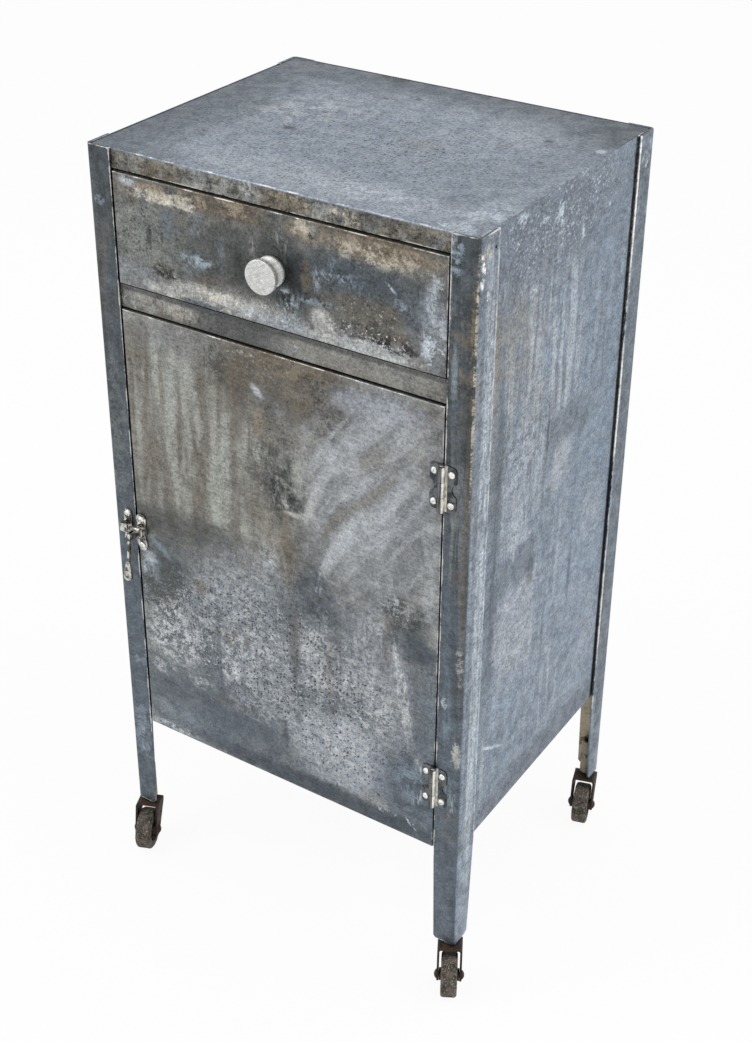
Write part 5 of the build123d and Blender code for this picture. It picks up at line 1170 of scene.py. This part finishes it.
def close_up():
    """Merges the doubled corners and turns every face outwards."""
    bpy.ops.mesh.select_all(action="SELECT")
    bpy.ops.mesh.remove_doubles(threshold=DOUBLED_WITHIN)
    bpy.ops.mesh.normals_make_consistent(inside=False)


def round_corners(corners_at, radius, segments):
    """Rounds some corners of a drawn line."""
    if corners_at:
        pick("VERT", near(*corners_at))
        bpy.ops.mesh.bevel(offset=radius, segments=segments, affect="VERTICES")
    bpy.ops.mesh.select_all(action="SELECT")


def flipped(profile):
    """A profile mirrored to below its middle, in the opposite order."""
    return [(across, -up) for across, up in reversed(profile)]


def turn_on_lathe(profile, closed=False, rounded=(), radius=1.0, steps=48):
    """Spins a profile of (radius, height) points about the Z axis, with some of its corners rounded first."""
    points = [(across, 0.0, up) for across, up in profile]
    draw_line(points + points[:1] if closed else points)
    close_up()
    round_corners([points[index] for index in rounded], radius, 4)
    bpy.ops.mesh.spin(steps=steps, angle=math.tau, center=(0.0, 0.0, 0.0), axis=(0.0, 0.0, 1.0))
    close_up()


def cut_plate(outline, thick, rounded=(), radius=1.0):
    """Cuts a plate to an outline of (across, up) points in the front plane, with some corners rounded."""
    points = [(across, 0.0, up) for across, up in outline]
    draw_line(points + points[:1])
    close_up()
    round_corners([points[index] for index in rounded], radius, 5)
    bpy.ops.mesh.edge_face_add()
    bpy.ops.mesh.extrude_region_move(TRANSFORM_OT_translate={"value": (0.0, -thick, 0.0)})
    close_up()


def apply_modifier(kind, **settings):
    """Adds a modifier to the piece in hand and applies it."""
    bpy.ops.object.mode_set(mode="OBJECT")
    piece = bpy.context.object
    modifier = piece.modifiers.new(kind.lower(), kind)
    for name, value in settings.items():
        setattr(modifier, name, value)
    bpy.ops.object.modifier_apply(modifier=modifier.name)
    return piece


def soften(width, segments=2, angle=32.0):
    """Rounds the sharp edges of the piece in hand."""
    return apply_modifier("BEVEL", width=width, segments=segments, limit_method="ANGLE",
                          angle_limit=math.radians(angle))


def join_shape(piece, other, operation="UNION"):
    """Joins another shape to a piece, or cuts it away, and takes the other one off the bench."""
    take(piece)
    apply_modifier("BOOLEAN", operation=operation, object=other, solver="EXACT")
    bpy.data.objects.remove(other)


def copy_to(shape, place):
    """A copy of a shape with its own mesh, scaled to metres and put in its place."""
    take(shape)
    bpy.ops.object.duplicate()
    copy = bpy.context.object
    copy.matrix_world = place @ Matrix.Diagonal((MM, MM, MM, 1.0))
    bpy.ops.object.transform_apply(location=True, rotation=True, scale=True)
    return copy


def gather(copies):
    """Joins copies into one piece."""
    take(*copies)
    bpy.ops.object.join()
    return copies[0]


def stand_for(piece, name, node, finish, smooth_to=40.0):
    """Names a piece, gives it its finish and lets it stand for a node, on that node's body."""
    take(piece)
    bpy.ops.object.shade_smooth_by_angle(angle=math.radians(smooth_to))
    piece.name = name
    piece.data.name = name
    piece.data.materials.clear()
    piece.data.materials.append(finish)
    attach(piece, body_of[node])
    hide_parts(node)


def middle_of(node):
    """The middle of a node's box."""
    low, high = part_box(node)
    return (low + high) / 2


OUTWARDS = Matrix.Rotation(math.radians(90.0), 4, "X")

# Folded sheets, posts and latch castings: copies of the nodes with their edges eased
POST_EDGE = 0.8
SHEET_EDGE = 0.45
EASED_EDGES = {f"post_{corner}": POST_EDGE for corner in corners}
EASED_EDGES.update({node: SHEET_EDGE for node in ("top_panel", "door_skin", "drawer_front", "middle_rail")})
EASED_EDGES.update({"latch_base": 0.7, "latch_strike": 0.5, "latch_bolt": 0.5, "latch_pivot_pin": 0.3})
MERGED_WITHIN = 0.005 * MM
FLAT_ANGLE = 0.5
SHARP_ANGLE = 40.0
FACET_ANGLE = 12.0


def ease_edges(node, width):
    """A copy of a node, merged, cleaned of its flat edges and eased along the sharp ones."""
    take(nodes[node])
    bpy.ops.object.duplicate()
    bpy.ops.object.parent_clear(type="CLEAR_KEEP_TRANSFORM")
    bpy.ops.object.mode_set(mode="EDIT")
    bpy.ops.mesh.select_all(action="SELECT")
    bpy.ops.mesh.remove_doubles(threshold=MERGED_WITHIN)
    bpy.ops.mesh.dissolve_limited(angle_limit=math.radians(FLAT_ANGLE))
    return soften(width * MM, 3, SHARP_ANGLE)


for node, width in EASED_EDGES.items():
    stand_for(ease_edges(node, width), f"eased_{node}", node, finishes[node], FACET_ANGLE)

# Screws: round heads with a slot, each left at its own turn
SCREW_HEAD_R = 3.8
SCREW_HEAD = 2.3
SCREW_R = 1.6
SCREW_LENGTH = 7.0
SLOT_WIDE = 0.9
SLOT_DEEP = 1.1


def make_screw():
    """A slotted round-head screw that points up, with its seat at the origin."""
    begin(bpy.ops.mesh.primitive_uv_sphere_add, segments=32, ring_count=15, radius=SCREW_HEAD_R)
    bpy.ops.mesh.select_all(action="SELECT")
    bpy.ops.mesh.bisect(plane_co=(0.0, 0.0, 0.0), plane_no=(0.0, 0.0, 1.0), clear_inner=True, use_fill=True)
    bpy.ops.mesh.select_all(action="SELECT")
    flattened = (1.0, 1.0, SCREW_HEAD / SCREW_HEAD_R)
    bpy.ops.transform.resize(value=flattened, center_override=(0.0, 0.0, 0.0))
    pick("FACE", lambda middle: middle.z < ON_SPOT)
    bpy.ops.mesh.inset(thickness=SCREW_HEAD_R - SCREW_R)
    bpy.ops.mesh.extrude_region_move(TRANSFORM_OT_translate={"value": (0.0, 0.0, -SCREW_LENGTH)})
    close_up()
    bpy.ops.object.mode_set(mode="OBJECT")
    screw = bpy.context.object
    begin(bpy.ops.mesh.primitive_cube_add, size=1.0)
    bpy.ops.transform.resize(value=(3.0 * SCREW_HEAD_R, SLOT_WIDE, 2.0 * SLOT_DEEP))
    bpy.ops.transform.translate(value=(0.0, 0.0, SCREW_HEAD))
    bpy.ops.object.mode_set(mode="OBJECT")
    join_shape(screw, bpy.context.object, "DIFFERENCE")
    return screw


def place_screws(shape, name, node, heights, turns):
    """Screws in a node's column, at their heights and with their slots turned."""
    low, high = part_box(node)
    seat_y = low.y + SCREW_HEAD * MM
    across = (low.x + high.x) / 2
    copies = [
        copy_to(shape, Matrix.Translation((across, seat_y, height)) @ OUTWARDS
                @ Matrix.Rotation(math.radians(turn), 4, "Z"))
        for height, turn in zip(heights, turns)
    ]
    stand_for(gather(copies), name, node, bright_nickel)


hinge_heights = [middle_of(f"hinge_leaf_post_{end}").z for end in ("upper", "lower")]
HINGE_SCREW_SPREAD = 17.2
hinge_screw_heights = [
    height + end * HINGE_SCREW_SPREAD * MM for height in hinge_heights for end in (1, -1)
]
screw = make_screw()
for name, node, turns in (("post_hinge_screws", "hinge_post_screws", (8.0, -35.0, 60.0, 15.0)),
                          ("door_hinge_screws", "hinge_door_screws", (80.0, 40.0, -20.0, 70.0))):
    place_screws(screw, name, node, hinge_screw_heights, turns)
for name, node, turns in (("latch_plate_screws", "latch_screws", (25.0, -50.0)),
                          ("strike_plate_screws", "strike_screws", (-15.0, 65.0))):
    low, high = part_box(node)
    head = (high.x - low.x) / 2
    place_screws(screw, name, node, (high.z - head, low.z + head), turns)
bpy.data.objects.remove(screw)

# Knob: turned from one piece, with a waisted neck and a crowned face
KNOB_BASE_R = 16.0
KNOB_FACE_R = 18.0
KNOB_NECK_R = 12.0
KNOB_BASE = 3.6
KNOB_FACE = 4.6
KNOB_LENGTH = 21.0
KNOB_CROWN = 1.2
KNOB_RIM = 1.0
KNOB_EDGE = 0.9


def make_knob():
    """The drawer knob, pointing up from its seat at the origin."""
    neck_to = KNOB_LENGTH - KNOB_CROWN - KNOB_FACE
    neck_half = (neck_to - KNOB_BASE) / 2
    neck = [
        (KNOB_NECK_R + (rim - KNOB_NECK_R) * share**2, KNOB_BASE + neck_half + share * neck_half * side)
        for side, rim, shares in ((-1, KNOB_BASE_R - KNOB_RIM, (1.0, 0.8, 0.55, 0.3)),
                                  (1, KNOB_FACE_R - KNOB_RIM, (0.0, 0.3, 0.55, 0.8, 1.0)))
        for share in shares
    ]
    crown = [
        (KNOB_FACE_R * share, KNOB_LENGTH - KNOB_CROWN * share**2) for share in (1.0, 0.8, 0.6, 0.4, 0.2, 0.0)
    ]
    base = [(0.0, 0.0), (KNOB_BASE_R, 0.0), (KNOB_BASE_R, KNOB_BASE)]
    turn_on_lathe([*base, *neck, (KNOB_FACE_R, neck_to), *crown], steps=72)
    return soften(KNOB_EDGE, 3)


knob = make_knob()
knob_place = middle_of("drawer_knob")
stand_for(copy_to(knob, Matrix.Translation((knob_place.x, front_y, knob_place.z)) @ OUTWARDS),
          "turned_knob", "drawer_knob", knob_aluminium)
bpy.data.objects.remove(knob)

# Hinges: scalloped leaves with knuckles round a ball-tipped pin
HINGE_LENGTH = 50.8
HINGE_LEAF = 15.0
HINGE_LEAF_THICK = 1.4
HINGE_BARREL_R = 3.8
HINGE_KNUCKLE_GAP = 0.3
HINGE_WEB_THICK = 1.8
HINGE_WEB_SHORT = 1.5
HINGE_SCALLOP_R = 8.0
HINGE_SCALLOP_DEPTH = 5.0
HINGE_CORNER_R = 5.0
HINGE_LEAF_EDGE = 0.35
HINGE_KNUCKLE_EDGE = 0.5
HINGE_KNUCKLE_RING = 1.2
HINGE_WEB_EDGE = 0.3
HINGE_WEB_OUT = 1.1
HINGE_WEB_NARROW = 0.5
PIN_TIP_R = 2.7
PIN_TIP = 2.0
PIN_EDGE = 0.2
barrel_out = (front_y - hinge_axis.y) / MM


def make_leaf(side, spans):
    """A hinge leaf on the right of its axis (side 1) or on the left (-1), with knuckles on some spans."""
    half = HINGE_LENGTH / 2
    scallop_x = HINGE_LEAF + HINGE_SCALLOP_R - HINGE_SCALLOP_DEPTH
    reach = math.degrees(math.acos((scallop_x - HINGE_LEAF) / HINGE_SCALLOP_R))
    scallop = arc((scallop_x, 0.0), HINGE_SCALLOP_R, 180.0 + reach, 180.0 - reach, 12)
    outline = [(0.0, -half), (HINGE_LEAF, -half), *scallop, (HINGE_LEAF, half), (0.0, half)]
    outline = [(side * across, up) for across, up in outline]
    cut_plate(outline, HINGE_LEAF_THICK, (1, len(outline) - 2), HINGE_CORNER_R)
    leaf = soften(HINGE_LEAF_EDGE)
    for low, high in spans:
        begin(bpy.ops.mesh.primitive_cylinder_add, vertices=32, radius=HINGE_BARREL_R,
              depth=high - low - HINGE_KNUCKLE_GAP, location=(0.0, -barrel_out, (low + high) / 2))
        pick("FACE", lambda middle: abs(middle.x) + abs(middle.y) < ON_SPOT)
        bpy.ops.mesh.inset(thickness=HINGE_KNUCKLE_RING)
        join_shape(leaf, soften(HINGE_KNUCKLE_EDGE))
        begin(bpy.ops.mesh.primitive_cube_add, size=1.0,
              location=(side * HINGE_BARREL_R / 2, -HINGE_WEB_OUT, (low + high) / 2))
        web_size = (HINGE_BARREL_R - HINGE_WEB_NARROW, HINGE_WEB_THICK, high - low - HINGE_WEB_SHORT)
        bpy.ops.transform.resize(value=web_size)
        join_shape(leaf, soften(HINGE_WEB_EDGE))
    return leaf


third = HINGE_LENGTH / 6
leaf_shapes = {
    "post": make_leaf(1, ((third, HINGE_LENGTH / 2), (-HINGE_LENGTH / 2, -third))),
    "door": make_leaf(-1, ((-third, third),)),
}
for holder, shape in leaf_shapes.items():
    for end, height in zip(("upper", "lower"), hinge_heights):
        leaf = copy_to(shape, Matrix.Translation((hinge_axis.x, front_y, height)))
        stand_for(leaf, f"{end}_{holder}_leaf", f"hinge_leaf_{holder}_{end}", hinge_nickel)
    bpy.data.objects.remove(shape)

pin_end = HINGE_LENGTH / 2
ball = ((1.7, 0.0), (PIN_TIP_R, 0.5), (PIN_TIP_R, 1.2), (1.6, PIN_TIP), (0.0, PIN_TIP))
tip = [(across, pin_end + up) for across, up in ball]
turn_on_lathe(flipped(tip) + tip, steps=24)
pin = soften(PIN_EDGE)
pins = [copy_to(pin, Matrix.Translation((hinge_axis.x, hinge_axis.y, height))) for height in hinge_heights]
stand_for(gather(pins), "hinge_pins_with_ball_tips", "hinge_pins", dark_nickel)
bpy.data.objects.remove(pin)

# Latch lever: an eye on the cross pin, a shank and a spoon with a raised rim, leaning outwards
LEVER_LENGTH = 55.0
LEVER_THICK = 3.0
LEVER_DEEP = 3.8
LEVER_EYE_R = 3.6
LEVER_SPOON_R = 5.6
LEVER_SPOON_LENGTH = 20.0
LEVER_RIM = 1.2
LEVER_DISH = 1.0
LEVER_LEAN = 8.0
LEVER_SHOULDER = 0.72 * LEVER_SPOON_R
LEVER_SHOULDER_DROP = 9.0
LEVER_CORNER_R = 2.5
LEVER_DISH_DROP = 5.0
LEVER_EDGE = 0.45
LEVER_EYE_RING = 1.4
LEVER_EYE_EDGE = 0.4


def make_lever():
    """The lever, hanging from its pin at the origin."""
    half = LEVER_THICK / 2
    bowl_z = LEVER_SPOON_R - LEVER_LENGTH
    bowl = arc((0.0, bowl_z), LEVER_SPOON_R, -180.0, 0.0, 16)
    shoulder = bowl_z + LEVER_SPOON_LENGTH
    dish_from = shoulder - LEVER_DISH_DROP
    neck = shoulder - LEVER_SHOULDER_DROP
    outline = [(half, 0.0), (-half, 0.0), (-half, shoulder), (-LEVER_SHOULDER, neck), *bowl,
               (LEVER_SHOULDER, neck), (half, shoulder)]
    cut_plate(outline, LEVER_DEEP, (2, 3, len(outline) - 2, len(outline) - 1), LEVER_CORNER_R)
    bpy.ops.mesh.select_all(action="SELECT")
    bpy.ops.transform.translate(value=(0.0, LEVER_DEEP / 2, 0.0))
    bpy.ops.mesh.bisect(plane_co=(0.0, 0.0, dish_from), plane_no=(0.0, 0.0, 1.0))
    pick("FACE", lambda middle: middle.y < -LEVER_DEEP / 2 + ON_SPOT and middle.z < dish_from)
    bpy.ops.mesh.inset(thickness=LEVER_RIM)
    bpy.ops.mesh.extrude_region_move(TRANSFORM_OT_translate={"value": (0.0, LEVER_DISH, 0.0)})
    bpy.ops.transform.resize(value=(0.8, 1.0, 0.92))
    lever = soften(LEVER_EDGE)
    begin(bpy.ops.mesh.primitive_cylinder_add, vertices=32, radius=LEVER_EYE_R, depth=LEVER_THICK,
          rotation=(0.0, math.radians(90.0), 0.0))
    pick("FACE", lambda middle: abs(middle.y) + abs(middle.x) < ON_SPOT)
    bpy.ops.mesh.inset(thickness=LEVER_EYE_RING)
    join_shape(lever, soften(LEVER_EYE_EDGE))
    return lever


lever = make_lever()
lever_pivot = Vector(joints["latch_lever_swing"]["pos_m"])
lever_place = Matrix.Translation(lever_pivot) @ Matrix.Rotation(math.radians(-LEVER_LEAN), 4, "X")
stand_for(copy_to(lever, lever_place), "spoon_lever", "latch_lever", plain_nickel)
bpy.data.objects.remove(lever)

# Casters: a folded strap fork, a riveted axle, and a chipped tread on a webbed hub
WHEEL_R = 25.4
WHEEL_WIDE = 19.0
WHEEL_EDGE = 3.5
TREAD_SIDE_R = 20.0
TREAD_MIDDLE = 3.0
HUB_R = 15.5
HUB_RIM = 3.0
HUB_WEB = 7.0
HUB_BOSS_R = 7.0
HUB_BOSS_HALF = 11.6
AXLE_R = 3.2
AXLE_HEAD_R = 5.6
AXLE_HEAD = 3.0
FORK_THICK = 2.4
FORK_OUTSIDE = 28.3
FORK_TOP = 61.4
FORK_HEEL = 10.6
FORK_TOE = -19.0
FORK_TIP_R = 7.5
FORK_CORNER_R = 4.0
FORK_HEEL_R = 6.0
TRAIL = 20.5
CHIP_DEEP = 0.7
CHIP_SIZE = 3.0
HUB_EDGE = 0.6
AXLE_EDGE = 0.3
FORK_EDGE = 0.9
ACROSS = Matrix.Rotation(math.radians(90.0), 4, "Y")


def make_tread():
    """The tread, with its axle along Z, worn and chipped a little all over."""
    half = WHEEL_WIDE / 2
    profile = [(HUB_R, -half), (TREAD_SIDE_R, -half), (WHEEL_R, -half), (WHEEL_R, -TREAD_MIDDLE),
               (WHEEL_R, TREAD_MIDDLE), (WHEEL_R, half), (TREAD_SIDE_R, half), (HUB_R, half)]
    turn_on_lathe(profile, True, (2, 5), WHEEL_EDGE, 80)
    bpy.ops.mesh.select_all(action="SELECT")
    bpy.ops.mesh.subdivide(number_cuts=2)
    chips = bpy.data.textures.new("tread_chips", "CLOUDS")
    chips.noise_scale = CHIP_SIZE
    chips.noise_depth = 4
    return apply_modifier("DISPLACE", texture=chips, texture_coords="LOCAL", strength=CHIP_DEEP,
                          mid_level=0.95)


def make_hub():
    """The hub, with its axle along Z: a rim, a thin web and a long boss."""
    rim = WHEEL_WIDE / 2 - WHEEL_EDGE
    web = HUB_WEB / 2
    upper = [(AXLE_R, HUB_BOSS_HALF), (HUB_BOSS_R, HUB_BOSS_HALF), (HUB_BOSS_R, web),
             (HUB_R - HUB_RIM, web), (HUB_R - HUB_RIM, rim), (HUB_R, rim)]
    turn_on_lathe(upper + flipped(upper), True)
    return soften(HUB_EDGE)


def make_axle():
    """The axle along Z, with a domed head at each end."""
    seat = FORK_OUTSIDE / 2
    dome_r = (AXLE_HEAD_R**2 + AXLE_HEAD**2) / (2 * AXLE_HEAD)
    rim = math.degrees(math.acos(AXLE_HEAD_R / dome_r))
    head = [(AXLE_R, seat), *arc((0.0, seat + AXLE_HEAD - dome_r), dome_r, rim, 90.0, 6)]
    turn_on_lathe(flipped(head) + head, steps=32)
    return soften(AXLE_EDGE)


def make_fork():
    """The fork, with its stem on Z and its trail towards -Y: one strap folded down at both sides."""
    slope = math.atan2(FORK_TOP - WHEEL_R, FORK_HEEL + TRAIL - FORK_TIP_R)
    heel_y = FORK_HEEL - FORK_HEEL_R / math.tan(slope / 2)
    heel = arc((heel_y, FORK_TOP - FORK_HEEL_R), FORK_HEEL_R, 90.0, math.degrees(slope) - 90.0, 8)
    tip = arc((-TRAIL, WHEEL_R), FORK_TIP_R, 0.0, -180.0, 12)
    outline = [*heel, *tip, (FORK_TOE, FORK_TOP)]
    points = [(-FORK_OUTSIDE / 2, across, up) for across, up in outline]
    draw_line(points + points[:1])
    close_up()
    bpy.ops.mesh.edge_face_add()
    bpy.ops.mesh.extrude_region_move(TRANSFORM_OT_translate={"value": (FORK_OUTSIDE, 0.0, 0.0)})
    close_up()
    pick("FACE", lambda middle: abs(middle.x) < 1.0 and middle.z < FORK_TOP - FORK_THICK)
    bpy.ops.mesh.delete(type="FACE")
    pick("EDGE", lambda middle: abs(middle.x) > 1.0 and middle.z > FORK_TOP - FORK_THICK)
    bpy.ops.mesh.bevel(offset=FORK_CORNER_R, segments=5)
    bpy.ops.mesh.select_all(action="SELECT")
    bpy.ops.mesh.normals_make_consistent(inside=False)
    apply_modifier("SOLIDIFY", thickness=FORK_THICK, offset=-1.0, use_even_offset=True)
    return soften(FORK_EDGE, 3)


tread = make_tread()
hub = make_hub()
axle = make_axle()
fork = make_fork()
for corner in corners:
    stem = Vector(joints[f"caster_{corner}_swivel"]["pos_m"])
    wheel = Vector(joints[f"wheel_{corner}_spin"]["pos_m"])
    spin_axis = Vector(joints[f"wheel_{corner}_spin"]["axis"])
    turned = Matrix.Rotation(math.atan2(spin_axis.y, spin_axis.x), 4, "Z")
    on_axle = Matrix.Translation(wheel) @ turned @ ACROSS
    under_stem = Matrix.Translation((stem.x, stem.y, 0.0)) @ turned
    stand_for(copy_to(tread, on_axle), f"tread_{corner}", f"wheel_tread_{corner}", wheel_rubber)
    stand_for(copy_to(hub, on_axle), f"hub_{corner}", f"wheel_hub_{corner}", rusty_steel)
    stand_for(copy_to(axle, on_axle), f"axle_{corner}", f"caster_axle_{corner}", rusty_steel)
    stand_for(copy_to(fork, under_stem), f"fork_{corner}", f"caster_fork_{corner}", rusty_steel)
for shape in (tread, hub, axle, fork):
    bpy.data.objects.remove(shape)


# Floor, light and camera
FLOOR_HALF = 6.0
FLOOR_GLOW = 0.93
FLOOR_GREY = 0.9
WORLD_LEVEL = 0.75
LIGHT_AIM = Vector((0.0, 0.0, 0.5))
LIGHT_SIZE = 1.6
CAMERA_PLACE = Vector((0.8831, -1.3696, 1.4751))
CAMERA_AZIMUTH = 32.597
CAMERA_ELEVATION = 29.046
CAMERA_ROLL = -0.436
PICTURE_WIDE = 752
PICTURE_TALL = 1042
FOCAL_PIXELS = 1668.4
MIDDLE_PIXEL = (378.5, 430.8)
SENSOR = 36.0


def seen_as_background(tree):
    """1 for the rays that should meet a white background: straight, mirrored or passed through glass."""
    path = add(tree, "LightPath").outputs
    seen = maths(tree, "MAXIMUM", path["Is Camera Ray"], path["Is Glossy Ray"])
    return maths(tree, "MAXIMUM", seen, path["Is Transmission Ray"])


def make_floor():
    """A pale floor that keeps a faint shadow."""
    bpy.ops.object.select_all(action="DESELECT")
    bpy.ops.mesh.primitive_plane_add(size=2 * FLOOR_HALF)
    floor = bpy.context.object
    floor.name = "floor"
    material, tree, shader = new_material("pale_floor")
    fill(tree, shader, {"Base Color": (FLOOR_GREY, FLOOR_GREY, FLOOR_GREY, 1.0), "Roughness": 0.9})
    glow = add(tree, "Emission", {"Color": (1.0, 1.0, 1.0, 1.0), "Strength": 1.0})
    share = maths(tree, "MULTIPLY", seen_as_background(tree), FLOOR_GLOW)
    mixed = add(tree, "MixShader", {0: share, 1: shader.outputs[0], 2: glow.outputs[0]})
    tree.links.new(mixed.outputs[0], tree.nodes["Material Output"].inputs["Surface"])
    floor.data.materials.append(material)


def make_world():
    """White surroundings that light the cabinet evenly."""
    world = bpy.data.worlds.new("studio")
    bpy.context.scene.world = world
    world.use_nodes = True
    tree = world.node_tree
    level = soft_step(tree, seen_as_background(tree), 0.0, 1.0, WORLD_LEVEL, 1.0)
    fill(tree, tree.nodes["Background"], {"Color": (1.0, 1.0, 1.0, 1.0), "Strength": level})


def make_light(name, place, power):
    """A square soft light, turned towards the cabinet."""
    light = bpy.data.lights.new(name, "AREA")
    light.size = LIGHT_SIZE
    light.energy = power
    lamp = bpy.data.objects.new(name, light)
    bpy.context.scene.collection.objects.link(lamp)
    lamp.location = place
    lamp.rotation_euler = (LIGHT_AIM - Vector(place)).to_track_quat("-Z", "Y").to_euler()


def make_camera():
    """The photograph's own camera, from its fitted place and angles."""
    azimuth = math.radians(CAMERA_AZIMUTH)
    elevation = math.radians(CAMERA_ELEVATION)
    back = Vector((math.sin(azimuth) * math.cos(elevation), -math.cos(azimuth) * math.cos(elevation),
                   math.sin(elevation)))
    level_right = (-back).cross(Vector((0.0, 0.0, 1.0))).normalized()
    level_down = (-back).cross(level_right)
    roll = math.radians(CAMERA_ROLL)
    right = math.cos(roll) * level_right + math.sin(roll) * level_down
    down = math.cos(roll) * level_down - math.sin(roll) * level_right
    data = bpy.data.cameras.new("photo_camera")
    data.sensor_width = SENSOR
    data.lens = FOCAL_PIXELS * SENSOR / PICTURE_TALL
    data.shift_x = (PICTURE_WIDE / 2 - MIDDLE_PIXEL[0]) / PICTURE_TALL
    data.shift_y = (MIDDLE_PIXEL[1] - PICTURE_TALL / 2) / PICTURE_TALL
    camera = bpy.data.objects.new("photo_camera", data)
    bpy.context.scene.collection.objects.link(camera)
    turn = Matrix((right, -down, back)).transposed().to_4x4()
    camera.matrix_world = Matrix.Translation(CAMERA_PLACE) @ turn
    bpy.context.scene.camera = camera


make_floor()
make_world()
make_light("soft_key", (-1.6, -1.8, 2.4), 26.0)
make_light("soft_side", (2.4, 0.4, 1.8), 22.0)
make_camera()
bpy.context.scene.view_settings.view_transform = "Standard"
